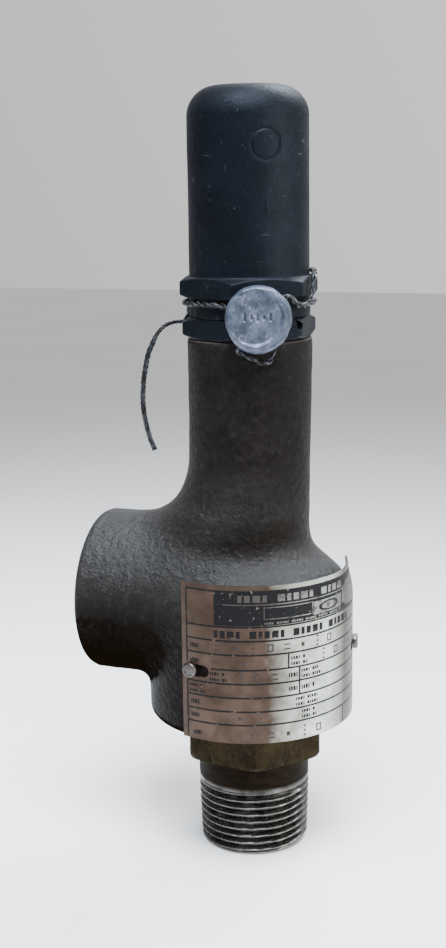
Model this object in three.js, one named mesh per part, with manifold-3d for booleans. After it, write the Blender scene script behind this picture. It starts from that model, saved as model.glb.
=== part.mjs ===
// A small threaded pressure relief valve: 3/4 inch male inlet, 1 inch female side outlet,
// spring loaded disc, screwed closed cap, and a lead seal on twisted wire.
// Millimetres, +Z up along the valve axis, origin at the centre of the inlet end face,
// outlet along -X. Every mesh is one physical piece, in its closed, sealed position.
import * as THREE from "three";
import { mergeVertices } from "three/addons/utils/BufferGeometryUtils.js";
import Module from "manifold-3d";

const wasm = await Module();
wasm.setup();

// ---------------------------------------------------------------- driving dimensions
const LARGE_ROUND = 36; // facets round the castings and the cap
const SMALL_ROUND = 24; // facets round the inner pieces
const FIT = 0.1; // radial clearance between a piece and the hole it sits in

const INLET_PITCH = 25.4 / 14; // 3/4-14 NPT
const INLET_CREST_RADIUS = 13.0; // at the small end
const INLET_LEAD = 0.7; // plain end below the first root
const THREAD_DEPTH = 1.3;
const THREAD_TURNS = 9;
const PIPE_TAPER = 1 / 32; // radius gained per millimetre of pipe thread
const NECK_RADIUS = 13.45; // smooth band above the inlet thread
const INLET_BORE_RADIUS = 8.6;
const INLET_BORE_TOP = 18; // where the bore starts to narrow
const THROAT_RADIUS = 6.2;
const THROAT_FROM = 30;
const SEAT_Z = 42;
const SEAT_LAND_RADIUS = 7.4;

const BASE_HEX_ACROSS_FLATS = 31.2;
const BASE_HEX_BOTTOM = 23.6;
const BASE_HEX_TOP = 32.6;
const BASE_HEX_TURN = -70.5; // degrees, direction of one corner
const BASE_SPIGOT_RADIUS = 15.2;
const BASE_SPIGOT_TOP = 37;
const BASE_GASKET_RADIUS = 16.5;
const NOZZLE_RADIUS = 11; // the nozzle's shank inside the base

const BODY_BOTTOM = 33.2;
const BOWL_RADIUS = 24.3;
const BOWL_LOWER_EDGE = 1.1; // rounding of the bowl's lower edge
const SHOULDER_FROM = 63.5;
const SHOULDER_TO = 76.5;
const TUBE_RADIUS = 14.45; // at the top
const TUBE_FOOT_RADIUS = 14.15; // just above the shoulder
const BODY_TOP = 123.4;
const CAVITY_RADIUS = 19;
const CAVITY_FLOOR = 38.5;
const CAVITY_TOP = 59; // where the cavity starts to close in
const GUIDE_SEAT_RADIUS = 13.7;
const GUIDE_SEAT_FROM = 65;
const GUIDE_LEDGE_Z = 69;
const SPRING_CHAMBER_RADIUS = 10.8;
const LEAN = 0.8; // the outside of the casting stands this far off the axis, towards the outlet,
const LEAN_FULL_BELOW = 60; // from this height down
const LEAN_NONE_ABOVE = 118;

const OUTLET_Z = 60.5;
const OUTLET_REACH = 38.6; // valve axis to outlet face
const OUTLET_RADIUS = 19.7;
const OUTLET_EDGE = 1.8; // rounded rim of the boss
const OUTLET_BORE_RADIUS = 15.2;
const OUTLET_BORE_DEPTH = 21.1;
const OUTLET_CHAMFER = 1.2;
const WEB_REACH = 13; // from the tube's side out along the top of the boss
const WEB_WIDTH = 12;
const WEB_ROOT = 4; // how far the web is sunk into the tube

const PLUG_HEX_ACROSS_FLATS = 27.9;
const PLUG_HEX_BOTTOM = 123.9;
const PLUG_HEX_TOP = 129;
const PLUG_BOTTOM = 112;
const PLUG_THREAD_RADIUS = 11.7;
const COLLAR_RADIUS = 14;
const COLLAR_TOP = 132.6;
const SPIGOT_RADIUS = 11.2;
const SPIGOT_TOP = 141;
const WIRE_HOLE_RADIUS = 1;
const WIRE_HOLE_BOTTOM = 13.4; // distance of its blind end from the axis
const WIRE_HOLE_Z = 127.6;
const TOP_HEX_TURN = -85.8; // degrees, direction of one corner of the cap and plug hexes

const CAP_BOTTOM = 133.1;
const CAP_TOP = 180.2;
const CAP_RADIUS = 13.8;
const CAP_SHOULDER = 6.8;
const CAP_HEX_ACROSS_FLATS = 28.7;
const CAP_HEX_TOP = 138.1;
const CAP_ROOM_RADIUS = 11;
const CAP_ROOM_TOP = 176.5;
const CAP_ROOM_CHAMFER = 3;

const SCREW_RADIUS = 6; // adjusting screw, 1/2-20
const SCREW_BOTTOM = 109;
const SCREW_TOP = 152;
const SCREW_SQUARE = 8; // across the flats of its driven end
const SCREW_SQUARE_FROM = 147.5;
const SCREW_SQUARE_TURN = 20; // degrees, direction of one corner
const NUT_ACROSS_FLATS = 17.5;
const NUT_BOTTOM = 141.1;
const NUT_TOP = 146.6;
const NUT_TURN = 10; // degrees, direction of one corner

const SPINDLE_RADIUS = 3;
const SPINDLE_BOTTOM = 62;
const SPINDLE_TOP = 155;
const SPINDLE_FLANGE_RADIUS = 5; // carries the lower spring washer
const WASHER_RADIUS = 10;
const LOWER_WASHER_Z = 85;
const UPPER_WASHER_Z = 106;
const WASHER_HEIGHT = 3;
const WASHER_PILOT_HEIGHT = 2;
const SPRING_WIRE_RADIUS = 1.4;
const SPRING_RADIUS = 8.2; // to the middle of the wire
const SPRING_TURNS = 5;

const PLATE_INNER_RADIUS = 24.4;
const PLATE_OUTER_RADIUS = 24.9;
const PLATE_BOTTOM = 33.7;
const PLATE_TOP = 70.9;
const PLATE_FROM = -110.3; // degrees round the bowl
const PLATE_TO = 20;
const PLATE_SLOT_HEIGHT = 2.9;
const PLATE_SLOT_TURNS = 7.2; // degrees from the screw to the round end's centre
const PLATE_SCREW_Z = 50.3;
const PLATE_SCREW_INSET = 5.7; // degrees in from each end of the plate
const PLATE_SCREW_SHANK = 0.95;
const PLATE_SCREW_POINT = 21.2; // distance of its point from the bowl's axis
const PLATE_SCREW_HEAD_RADIUS = 1.8;
const PLATE_SCREW_HEAD_HEIGHT = 1.25;

const SEAL_TURN = -66.4; // degrees, direction in which the seal's face points
const SEAL_Z = 129.7;
const SEAL_RADIUS = 7.4;
const SEAL_BACK = 16.9; // valve axis to the back face of the seal
const SEAL_THICKNESS = 4.2;
const SEAL_EDGE = 1; // rounding of its rim
const SEAL_RIM = 1.7; // width of the raised rim round the pressed face
const SEAL_IMPRESSION = 0.5; // depth of the pressed face
const WIRE_RADIUS = 0.65;

// ---------------------------------------------------------------- solids and shapes
const radians = THREE.MathUtils.degToRad;

// A closed three.js geometry as a manifold solid, ready for join and cut.
function solidOf(geometry) {
  const bare = geometry.index ? geometry.clone() : geometry;
  bare.deleteAttribute("normal");
  bare.deleteAttribute("uv");
  const merged = mergeVertices(bare, 1e-4);
  const mesh = new wasm.Mesh({
    numProp: 3,
    vertProperties: new Float32Array(merged.attributes.position.array),
    triVerts: new Uint32Array(merged.index.array),
  });
  return new wasm.Manifold(mesh);
}

function geometryOf(solid) {
  const mesh = solid.getMesh();
  const geometry = new THREE.BufferGeometry();
  geometry.setAttribute("position", new THREE.BufferAttribute(mesh.vertProperties, 3));
  geometry.setIndex(new THREE.BufferAttribute(mesh.triVerts, 1));
  return geometry;
}

const cut = (solid, ...tools) => tools.reduce((left, tool) => left.subtract(tool), solid);
const join = (solid, ...others) => others.reduce((sum, other) => sum.add(other), solid);

// Turned piece about +Z. The outline is [radius, z] points that run counter-clockwise;
// a piece with a bore closes on itself, a solid one starts and ends on the axis.
function turned(outline, facets = SMALL_ROUND) {
  const onAxis = outline[0][0] === 0;
  const points = outline.map(([radius, z]) => new THREE.Vector2(radius, z));
  if (!onAxis) points.push(points[0].clone());
  return new THREE.LatheGeometry(points, facets).rotateX(Math.PI / 2);
}

const rod = (radius, from, to, facets = SMALL_ROUND) =>
  turned([[0, from], [radius, from], [radius, to], [0, to]], facets);

const ring = (inner, outer, from, to, facets = SMALL_ROUND) =>
  turned([[inner, from], [outer, from], [outer, to], [inner, to]], facets);

// Points of an elliptic arc in the outline plane, angles in degrees.
function arc(centreRadius, centreZ, reach, rise, fromAngle, toAngle, steps) {
  const points = [];
  for (let i = 0; i <= steps; i += 1) {
    const angle = radians(fromAngle + ((toAngle - fromAngle) * i) / steps);
    points.push([centreRadius + reach * Math.cos(angle), centreZ + rise * Math.sin(angle)]);
  }
  return points;
}

// Hexagonal or square bar along +Z with one corner pointing at the given turn.
function bar(sides, acrossFlats, from, to, cornerTurn) {
  const radius = acrossFlats / 2 / Math.cos(Math.PI / sides);
  const shape = new THREE.Shape();
  for (let i = 0; i < sides; i += 1) {
    const angle = radians(cornerTurn) + (2 * Math.PI * i) / sides;
    const corner = [radius * Math.cos(angle), radius * Math.sin(angle)];
    if (i === 0) shape.moveTo(...corner);
    else shape.lineTo(...corner);
  }
  shape.closePath();
  const settings = { depth: to - from, bevelEnabled: false };
  return new THREE.ExtrudeGeometry(shape, settings).translate(0, 0, from);
}

// A hexagon with its corners chamfered at 30 degrees on the ends that are asked for.
function chamferedHex(acrossFlats, from, to, cornerTurn, bottomChamfer, topChamfer) {
  const corner = acrossFlats / 2 / Math.cos(Math.PI / 6) + 0.05;
  const flat = acrossFlats / 2 - 0.2;
  const drop = (corner - flat) * Math.tan(Math.PI / 6);
  const outline = [[0, from], [bottomChamfer ? flat : corner, from]];
  if (bottomChamfer) outline.push([corner, from + drop]);
  if (topChamfer) outline.push([corner, to - drop]);
  outline.push([topChamfer ? flat : corner, to], [0, to]);
  const envelope = solidOf(turned(outline, LARGE_ROUND));
  return solidOf(bar(6, acrossFlats, from, to, cornerTurn)).intersect(envelope);
}

// Round wire along a smooth curve through the given points.
function wire(points, radius, steps, sides = 8) {
  const path = new THREE.CatmullRomCurve3(points.map((point) => new THREE.Vector3(...point)));
  const section = new THREE.Shape();
  for (let i = 0; i < sides; i += 1) {
    const angle = (2 * Math.PI * i) / sides;
    const corner = [radius * Math.cos(angle), radius * Math.sin(angle)];
    if (i === 0) section.moveTo(...corner);
    else section.lineTo(...corner);
  }
  section.closePath();
  return new THREE.ExtrudeGeometry(section, { steps, extrudePath: path, bevelEnabled: false });
}

// A point at a direction round the valve axis, a distance out, and a height.
function around(turn, radius, z) {
  return [radius * Math.cos(radians(turn)), radius * Math.sin(radians(turn)), z];
}

// A piece drawn along +Z from the valve axis, laid to point outward at a turn and height.
const pointOutward = (geometry, turn, z) =>
  geometry.rotateY(Math.PI / 2).rotateZ(radians(turn)).translate(0, 0, z);

// ---------------------------------------------------------------- pressure casting
// Moves a geometry's points along X to follow the leaning axis of the casting's outside.
function leaning(geometry) {
  const position = geometry.attributes.position;
  for (let i = 0; i < position.count; i += 1) {
    const rise = (LEAN_NONE_ABOVE - position.getZ(i)) / (LEAN_NONE_ABOVE - LEAN_FULL_BELOW);
    position.setX(i, position.getX(i) - LEAN * THREE.MathUtils.clamp(rise, 0, 1));
  }
  return geometry;
}

function shoulderOutline() {
  const outer = arc(BOWL_RADIUS - 5, SHOULDER_FROM, 5, 5.5, 0, 78, 5);
  const inner = arc(TUBE_FOOT_RADIUS + 4, SHOULDER_TO, 4, 6.3, 258, 180, 5);
  return [...outer, ...inner];
}

function bodyOutside() {
  const edge = BOWL_LOWER_EDGE;
  const taper = (TUBE_RADIUS - TUBE_FOOT_RADIUS) / (BODY_TOP - SHOULDER_TO);
  const casting = turned(
    [
      [0, BODY_BOTTOM],
      ...arc(BOWL_RADIUS - edge, BODY_BOTTOM + edge, edge, edge, -90, 0, 3),
      [BOWL_RADIUS, LEAN_FULL_BELOW],
      ...shoulderOutline(),
      [TUBE_FOOT_RADIUS + taper * (LEAN_NONE_ABOVE - SHOULDER_TO), LEAN_NONE_ABOVE],
      [TUBE_RADIUS, BODY_TOP],
      [0, BODY_TOP],
    ],
    LARGE_ROUND,
  );
  const boss = turned(
    [
      [0, 0],
      [OUTLET_RADIUS, 0],
      ...arc(OUTLET_RADIUS - OUTLET_EDGE, OUTLET_REACH - OUTLET_EDGE, OUTLET_EDGE, OUTLET_EDGE, 0, 90, 3),
      [0, OUTLET_REACH],
    ],
    LARGE_ROUND,
  );
  return join(
    solidOf(leaning(casting)),
    solidOf(pointOutward(boss, 180, OUTLET_Z)),
    solidOf(saddleWeb()),
  );
}

// Web with a hollow back that carries the tube's side down onto the top of the outlet boss.
function saddleWeb() {
  const low = OUTLET_Z + OUTLET_RADIUS;
  const side = TUBE_RADIUS - 0.2;
  const shape = new THREE.Shape();
  shape.moveTo(TUBE_RADIUS - WEB_ROOT, low - 6);
  shape.lineTo(TUBE_RADIUS - WEB_ROOT, low + WEB_REACH);
  shape.lineTo(side, low + WEB_REACH);
  for (const [x, z] of arc(side + WEB_REACH, low + WEB_REACH, WEB_REACH, WEB_REACH + 0.2, 180, 270, 6)) {
    shape.lineTo(x, z);
  }
  shape.lineTo(TUBE_RADIUS + WEB_REACH, low - 6);
  shape.closePath();
  const web = new THREE.ExtrudeGeometry(shape, { depth: WEB_WIDTH, bevelEnabled: false });
  return web.translate(0, 0, -WEB_WIDTH / 2).rotateX(Math.PI / 2).rotateZ(Math.PI);
}

function bodyInside() {
  return turned(
    [
      [0, BODY_BOTTOM - 1],
      [BASE_SPIGOT_RADIUS + FIT, BODY_BOTTOM - 1],
      [BASE_SPIGOT_RADIUS + FIT, BASE_SPIGOT_TOP + 0.5],
      [CAVITY_RADIUS, CAVITY_FLOOR],
      [CAVITY_RADIUS, CAVITY_TOP],
      [GUIDE_SEAT_RADIUS, GUIDE_SEAT_FROM],
      [GUIDE_SEAT_RADIUS, GUIDE_LEDGE_Z],
      [SPRING_CHAMBER_RADIUS, GUIDE_LEDGE_Z],
      [SPRING_CHAMBER_RADIUS, PLUG_BOTTOM - 1],
      [PLUG_THREAD_RADIUS + FIT, PLUG_BOTTOM - 1],
      [PLUG_THREAD_RADIUS + FIT, BODY_TOP + 1],
      [0, BODY_TOP + 1],
    ],
    LARGE_ROUND,
  );
}

function outletBore() {
  const mouth = OUTLET_BORE_RADIUS + OUTLET_BORE_DEPTH * PIPE_TAPER;
  const bore = turned(
    [
      [0, OUTLET_REACH - OUTLET_BORE_DEPTH],
      [OUTLET_BORE_RADIUS, OUTLET_REACH - OUTLET_BORE_DEPTH],
      [mouth, OUTLET_REACH - 1],
      [mouth + OUTLET_CHAMFER, OUTLET_REACH + 0.2],
      [mouth + OUTLET_CHAMFER, OUTLET_REACH + 1],
      [0, OUTLET_REACH + 1],
    ],
    LARGE_ROUND,
  );
  return pointOutward(bore, 180, OUTLET_Z);
}

const plateScrewTurns = [PLATE_FROM + PLATE_SCREW_INSET, PLATE_TO - PLATE_SCREW_INSET];

// A round hole for a plate screw, square to the bowl.
function plateScrewHole(turn, radius) {
  const hole = rod(radius, PLATE_SCREW_POINT - 0.7, PLATE_OUTER_RADIUS + 1, 12);
  return pointOutward(hole, turn, PLATE_SCREW_Z).translate(-LEAN, 0, 0);
}

function body() {
  const holes = plateScrewTurns.map((turn) => solidOf(plateScrewHole(turn, PLATE_SCREW_SHANK + FIT)));
  return geometryOf(cut(bodyOutside(), solidOf(bodyInside()), solidOf(outletBore()), ...holes));
}

// ---------------------------------------------------------------- inlet
function inletNozzle() {
  const outline = [[INLET_BORE_RADIUS, 0], [INLET_CREST_RADIUS - THREAD_DEPTH - 0.3, 0]];
  for (let turn = 0; turn < THREAD_TURNS; turn += 1) {
    const z = INLET_LEAD + turn * INLET_PITCH;
    const crest = INLET_CREST_RADIUS + z * PIPE_TAPER;
    outline.push([crest - THREAD_DEPTH, z], [crest, z + INLET_PITCH * 0.5]);
  }
  const runOut = INLET_LEAD + THREAD_TURNS * INLET_PITCH;
  outline.push(
    [NECK_RADIUS - THREAD_DEPTH, runOut],
    [NECK_RADIUS, runOut + 1],
    [NECK_RADIUS, BASE_HEX_BOTTOM],
    [NOZZLE_RADIUS, BASE_HEX_BOTTOM],
    [NOZZLE_RADIUS, SEAT_Z - 3],
    [SEAT_LAND_RADIUS, SEAT_Z],
    [THROAT_RADIUS, SEAT_Z],
    [THROAT_RADIUS, THROAT_FROM],
    [INLET_BORE_RADIUS, INLET_BORE_TOP],
  );
  return turned(outline, LARGE_ROUND);
}

function inletBase() {
  const hex = chamferedHex(
    BASE_HEX_ACROSS_FLATS, BASE_HEX_BOTTOM, BASE_HEX_TOP, BASE_HEX_TURN, true, false,
  );
  const spigot = solidOf(rod(BASE_SPIGOT_RADIUS, BASE_HEX_TOP - 1, BASE_SPIGOT_TOP, LARGE_ROUND));
  const bore = solidOf(
    rod(NOZZLE_RADIUS + FIT, BASE_HEX_BOTTOM - 1, BASE_SPIGOT_TOP + 1, LARGE_ROUND),
  );
  return geometryOf(cut(join(hex, spigot), bore));
}

const baseGasket = () =>
  ring(BASE_SPIGOT_RADIUS + FIT, BASE_GASKET_RADIUS, BASE_HEX_TOP, BODY_BOTTOM, LARGE_ROUND);

// ---------------------------------------------------------------- disc and guide
const HOLDER_RADIUS = 9.4;
const HOLDER_BOTTOM = 42.3;
const HOLDER_SKIRT_TOP = 49;
const HOLDER_SOCKET_RADIUS = 8.15; // takes the disc
const HOLDER_SOCKET_TOP = 46.6;
const HOLDER_TOP = 80;
const HOLDER_VENT_RADIUS = 0.6;
const SHANK_RADIUS = 7.5;
const SPINDLE_SOCKET_RADIUS = SPINDLE_RADIUS + 0.2;

const GUIDE_BOTTOM = 60;
const GUIDE_SLEEVE_RADIUS = 9.6;
const GUIDE_FLANGE_RADIUS = 13.6;
const GUIDE_FLANGE_FROM = 65.5;
const GUIDE_TOP = 78;

const DISC_FACE_RADIUS = 7.2; // the step that the retaining ring passes round
const DISC_RADIUS = 8;
const DISC_STEP_Z = 43.6;
const DISC_TOP = 46.4;

const RING_GROOVE_RADIUS = 8.75;
const RING_GROOVE_FROM = 42.65;
const RING_GROOVE_TO = 43.55;

function discGuide() {
  const flangeTop = GUIDE_LEDGE_Z - 0.05;
  return turned([
    [SHANK_RADIUS + FIT, GUIDE_BOTTOM],
    [GUIDE_SLEEVE_RADIUS, GUIDE_BOTTOM],
    [GUIDE_SLEEVE_RADIUS, GUIDE_FLANGE_FROM],
    [GUIDE_FLANGE_RADIUS, GUIDE_FLANGE_FROM],
    [GUIDE_FLANGE_RADIUS, flangeTop],
    [SPRING_CHAMBER_RADIUS - FIT, flangeTop],
    [SPRING_CHAMBER_RADIUS - FIT, GUIDE_TOP],
    [SHANK_RADIUS + FIT, GUIDE_TOP],
  ]);
}

function disc() {
  const face = SEAT_Z + 0.02;
  return turned([
    [0, face],
    [DISC_FACE_RADIUS, face],
    [DISC_FACE_RADIUS, DISC_STEP_Z],
    [DISC_RADIUS, DISC_STEP_Z],
    [DISC_RADIUS, DISC_TOP],
    [0, DISC_TOP],
  ]);
}

const discRetainingRing = () =>
  ring(DISC_FACE_RADIUS + 0.15, RING_GROOVE_RADIUS - FIT, RING_GROOVE_FROM + FIT, RING_GROOVE_TO - FIT);

function discHolder() {
  return turned([
    [HOLDER_SOCKET_RADIUS, HOLDER_BOTTOM],
    [HOLDER_RADIUS, HOLDER_BOTTOM],
    [HOLDER_RADIUS, HOLDER_SKIRT_TOP],
    [SHANK_RADIUS, HOLDER_SKIRT_TOP + 2],
    [SHANK_RADIUS, HOLDER_TOP],
    [SPINDLE_SOCKET_RADIUS, HOLDER_TOP],
    [SPINDLE_SOCKET_RADIUS, SPINDLE_BOTTOM - 0.3],
    [HOLDER_VENT_RADIUS, SPINDLE_BOTTOM - 1.5],
    [HOLDER_VENT_RADIUS, HOLDER_SOCKET_TOP],
    [HOLDER_SOCKET_RADIUS, HOLDER_SOCKET_TOP],
    [HOLDER_SOCKET_RADIUS, RING_GROOVE_TO],
    [RING_GROOVE_RADIUS, RING_GROOVE_TO],
    [RING_GROOVE_RADIUS, RING_GROOVE_FROM],
    [HOLDER_SOCKET_RADIUS, RING_GROOVE_FROM],
  ]);
}

// ---------------------------------------------------------------- spindle and spring
function spindle() {
  return turned([
    [0, SPINDLE_BOTTOM],
    [1.2, SPINDLE_BOTTOM],
    [SPINDLE_RADIUS, SPINDLE_BOTTOM + 1.8],
    [SPINDLE_RADIUS, LOWER_WASHER_Z - 4],
    [SPINDLE_FLANGE_RADIUS, LOWER_WASHER_Z - 2.5],
    [SPINDLE_FLANGE_RADIUS, LOWER_WASHER_Z],
    [SPINDLE_RADIUS, LOWER_WASHER_Z],
    [SPINDLE_RADIUS, SPINDLE_TOP - 0.8],
    [SPINDLE_RADIUS - 0.8, SPINDLE_TOP],
    [0, SPINDLE_TOP],
  ]);
}

// Flanged seat for one end of the spring; the pilot stands inside the end coil.
function springWasher(flangeFrom, pilotUp) {
  const bore = SPINDLE_RADIUS + 0.15;
  const pilot = SPRING_RADIUS - SPRING_WIRE_RADIUS - 0.4;
  const from = flangeFrom;
  const to = flangeFrom + WASHER_HEIGHT;
  if (pilotUp) {
    const end = to + WASHER_PILOT_HEIGHT;
    return turned([
      [bore, from], [WASHER_RADIUS, from], [WASHER_RADIUS, to], [pilot, to], [pilot, end], [bore, end],
    ]);
  }
  const end = from - WASHER_PILOT_HEIGHT;
  return turned([
    [bore, end], [pilot, end], [pilot, from], [WASHER_RADIUS, from], [WASHER_RADIUS, to], [bore, to],
  ]);
}

function spring() {
  const from = LOWER_WASHER_Z + WASHER_HEIGHT + SPRING_WIRE_RADIUS + 0.05;
  const to = UPPER_WASHER_Z - SPRING_WIRE_RADIUS - 0.05;
  const pointsPerTurn = 12;
  const count = SPRING_TURNS * pointsPerTurn;
  const points = [];
  for (let i = 0; i <= count; i += 1) {
    points.push(around((360 * i) / pointsPerTurn, SPRING_RADIUS, from + ((to - from) * i) / count));
  }
  return wire(points, SPRING_WIRE_RADIUS, count, 8);
}

// ---------------------------------------------------------------- top closure
const topPlugGasket = () =>
  ring(PLUG_THREAD_RADIUS + FIT, TUBE_RADIUS - 0.15, BODY_TOP, PLUG_HEX_BOTTOM, LARGE_ROUND);

function topPlug() {
  const hex = chamferedHex(
    PLUG_HEX_ACROSS_FLATS, PLUG_HEX_BOTTOM, PLUG_HEX_TOP, TOP_HEX_TURN, true, true,
  );
  const turnedPart = turned(
    [
      [0, PLUG_BOTTOM],
      [PLUG_THREAD_RADIUS, PLUG_BOTTOM],
      [PLUG_THREAD_RADIUS, PLUG_HEX_BOTTOM],
      [COLLAR_RADIUS - 1, PLUG_HEX_BOTTOM],
      [COLLAR_RADIUS - 1, PLUG_HEX_TOP],
      [COLLAR_RADIUS, PLUG_HEX_TOP],
      [COLLAR_RADIUS, COLLAR_TOP],
      [SPIGOT_RADIUS, COLLAR_TOP],
      [SPIGOT_RADIUS, SPIGOT_TOP - 1],
      [SPIGOT_RADIUS - 1, SPIGOT_TOP],
      [0, SPIGOT_TOP],
    ],
    LARGE_ROUND,
  );
  const bore = rod(SCREW_RADIUS + FIT, PLUG_BOTTOM - 1, SPIGOT_TOP + 1);
  const wireHole = pointOutward(
    rod(WIRE_HOLE_RADIUS, WIRE_HOLE_BOTTOM, PLUG_HEX_ACROSS_FLATS, 12), TOP_HEX_TURN + 60, WIRE_HOLE_Z,
  );
  return geometryOf(cut(join(hex, solidOf(turnedPart)), solidOf(bore), solidOf(wireHole)));
}

function adjustingScrew() {
  const shank = turned([
    [0, SCREW_BOTTOM],
    [SCREW_RADIUS - 1, SCREW_BOTTOM],
    [SCREW_RADIUS, SCREW_BOTTOM + 1],
    [SCREW_RADIUS, SCREW_SQUARE_FROM],
    [0, SCREW_SQUARE_FROM],
  ]);
  const square = bar(4, SCREW_SQUARE, SCREW_SQUARE_FROM - 1, SCREW_TOP, SCREW_SQUARE_TURN);
  const bore = rod(SPINDLE_RADIUS + 0.3, SCREW_BOTTOM - 1, SCREW_TOP + 1);
  return geometryOf(cut(join(solidOf(shank), solidOf(square)), solidOf(bore)));
}

function lockNut() {
  const hex = chamferedHex(NUT_ACROSS_FLATS, NUT_BOTTOM, NUT_TOP, NUT_TURN, true, true);
  return geometryOf(cut(hex, solidOf(rod(SCREW_RADIUS + FIT, NUT_BOTTOM - 1, NUT_TOP + 1))));
}

const capGasket = () =>
  ring(SPIGOT_RADIUS + FIT, COLLAR_RADIUS - 0.3, COLLAR_TOP, CAP_BOTTOM, LARGE_ROUND);

function cap() {
  const hex = chamferedHex(CAP_HEX_ACROSS_FLATS, CAP_BOTTOM, CAP_HEX_TOP, TOP_HEX_TURN, true, true);
  const shell = turned(
    [
      [0, CAP_BOTTOM],
      [CAP_RADIUS, CAP_BOTTOM],
      ...arc(CAP_RADIUS - CAP_SHOULDER, CAP_TOP - CAP_SHOULDER, CAP_SHOULDER, CAP_SHOULDER, 0, 90, 6),
      [0, CAP_TOP],
    ],
    LARGE_ROUND,
  );
  const room = turned(
    [
      [0, CAP_BOTTOM - 1],
      [SPIGOT_RADIUS + FIT, CAP_BOTTOM - 1],
      [SPIGOT_RADIUS + FIT, SPIGOT_TOP + 1],
      [CAP_ROOM_RADIUS, SPIGOT_TOP + 1.5],
      [CAP_ROOM_RADIUS, CAP_ROOM_TOP - CAP_ROOM_CHAMFER],
      [CAP_ROOM_RADIUS - CAP_ROOM_CHAMFER, CAP_ROOM_TOP],
      [0, CAP_ROOM_TOP],
    ],
    LARGE_ROUND,
  );
  return geometryOf(cut(join(hex, solidOf(shell)), solidOf(room)));
}

// ---------------------------------------------------------------- nameplate
// Part of a round wall about the bowl's axis, between two turns and two heights.
function curvedSheet(inner, outer, fromTurn, toTurn, bottom, top, curveSegments) {
  const shape = new THREE.Shape();
  shape.absarc(0, 0, outer, radians(fromTurn), radians(toTurn), false);
  shape.absarc(0, 0, inner, radians(toTurn), radians(fromTurn), true);
  const settings = { depth: top - bottom, bevelEnabled: false, curveSegments };
  return new THREE.ExtrudeGeometry(shape, settings).translate(-LEAN, 0, bottom);
}

// A slot with round ends, from a screw towards the middle of the plate.
function plateSlot(screwTurn, endTurn) {
  const half = PLATE_SLOT_HEIGHT / 2;
  const turns = [screwTurn, endTurn].sort((a, b) => a - b);
  const middle = curvedSheet(
    PLATE_INNER_RADIUS - 1, PLATE_OUTER_RADIUS + 1, ...turns, PLATE_SCREW_Z - half, PLATE_SCREW_Z + half, 2,
  );
  const ends = turns.map((turn) => solidOf(plateScrewHole(turn, half)));
  return join(solidOf(middle), ...ends);
}

function nameplate() {
  const sheet = curvedSheet(
    PLATE_INNER_RADIUS, PLATE_OUTER_RADIUS, PLATE_FROM, PLATE_TO, PLATE_BOTTOM, PLATE_TOP, 28,
  );
  const [left, right] = plateScrewTurns;
  const slots = [plateSlot(left, left + PLATE_SLOT_TURNS), plateSlot(right, right - PLATE_SLOT_TURNS)];
  return geometryOf(cut(solidOf(sheet), ...slots));
}

// Round headed drive screw, hammered into the casting through the plate.
function driveScrew(turn) {
  const seat = PLATE_OUTER_RADIUS + 0.05;
  const head = PLATE_SCREW_HEAD_RADIUS;
  const screw = turned(
    [
      [0, PLATE_SCREW_POINT],
      [PLATE_SCREW_SHANK - 0.3, PLATE_SCREW_POINT],
      [PLATE_SCREW_SHANK, PLATE_SCREW_POINT + 0.8],
      [PLATE_SCREW_SHANK, seat],
      [head, seat],
      [head, seat + PLATE_SCREW_HEAD_HEIGHT * 0.55],
      [head - 0.45, seat + PLATE_SCREW_HEAD_HEIGHT],
      [0, seat + PLATE_SCREW_HEAD_HEIGHT],
    ],
    12,
  );
  return pointOutward(screw, turn, PLATE_SCREW_Z).translate(-LEAN, 0, 0);
}

// ---------------------------------------------------------------- seal and wire
// The wire's route: tucked under the cap hex, once round the collar to the seal, through the
// lead, a small loop below it, through the lead again, up over the cap hex and round the back.
// Each stop is a direction in degrees, a distance from the valve axis and a height.
const GROOVE_Z = 132.05;
const GROOVE_RADIUS = COLLAR_RADIUS + WIRE_RADIUS + 0.25;
const GROOVE_FROM_TURN = -28;
const GROOVE_TO_TURN = 212;
const WIRE_STOPS = [
  [-132, GROOVE_RADIUS, 132.3],
  [-118, GROOVE_RADIUS, 132.35],
  [-105, GROOVE_RADIUS, 132.35],
  [-94, 15.1, 132.2],
  [-86, 16.8, 131.4],
  [-79.5, 18.7, 129.3],
  [-78.5, 19, 126.5],
  [-80.5, 18.3, 124.2],
  [-80, 17.6, 122.6],
  [-72, 17.5, 121.3],
  [-64.5, 17.5, 120.2],
  [-58.5, 17.5, 120.2],
  [-55.6, 17.8, 122.3],
  [-55, 18.5, 125.5],
  [-54.5, 19, 130],
  [-51.6, 19, 133.6],
  [-42.5, 18, 134.3],
  [-35, 17.1, 132.6],
  [-26, 16.6, 132],
  [-13, 15.9, 132.6],
  [-6, 15.5, 134.4],
  [-2, 15.4, 136.6],
  [4, 15.2, 138.4],
  [14, 14.8, 139],
  [34, 14.8, 139],
  [60, 14.8, 139],
  [95, 14.8, 139],
  [130, 15.9, 138.8],
  [150, 17.4, 136.6],
  [166, 16.3, 133.3],
  [174, 15.5, 130],
  [180.6, 15.5, 127.7],
];
// The free end: out to the left, then hanging beside the tube, cut off bare.
const TAIL_ROUTE = [
  [-16.2, -1.0, 127.2],
  [-17.6, -2.6, 127.2],
  [-19.0, -4.1, 126.7],
  [-20.2, -5.1, 125.6],
  [-21.1, -5.9, 124.1],
  [-21.8, -6.4, 122.4],
  [-22.7, -6.9, 120.0],
  [-23.3, -7.2, 117.0],
  [-23.8, -7.5, 113.6],
  [-24.0, -7.6, 110.2],
  [-23.9, -7.6, 106.8],
  [-23.4, -7.4, 103.4],
  [-22.6, -7.2, 100.2],
  [-21.6, -6.9, 97.4],
];
const HELD_END = [-16.06, -0.84, 127.24]; // just short of where the free end starts

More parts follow.
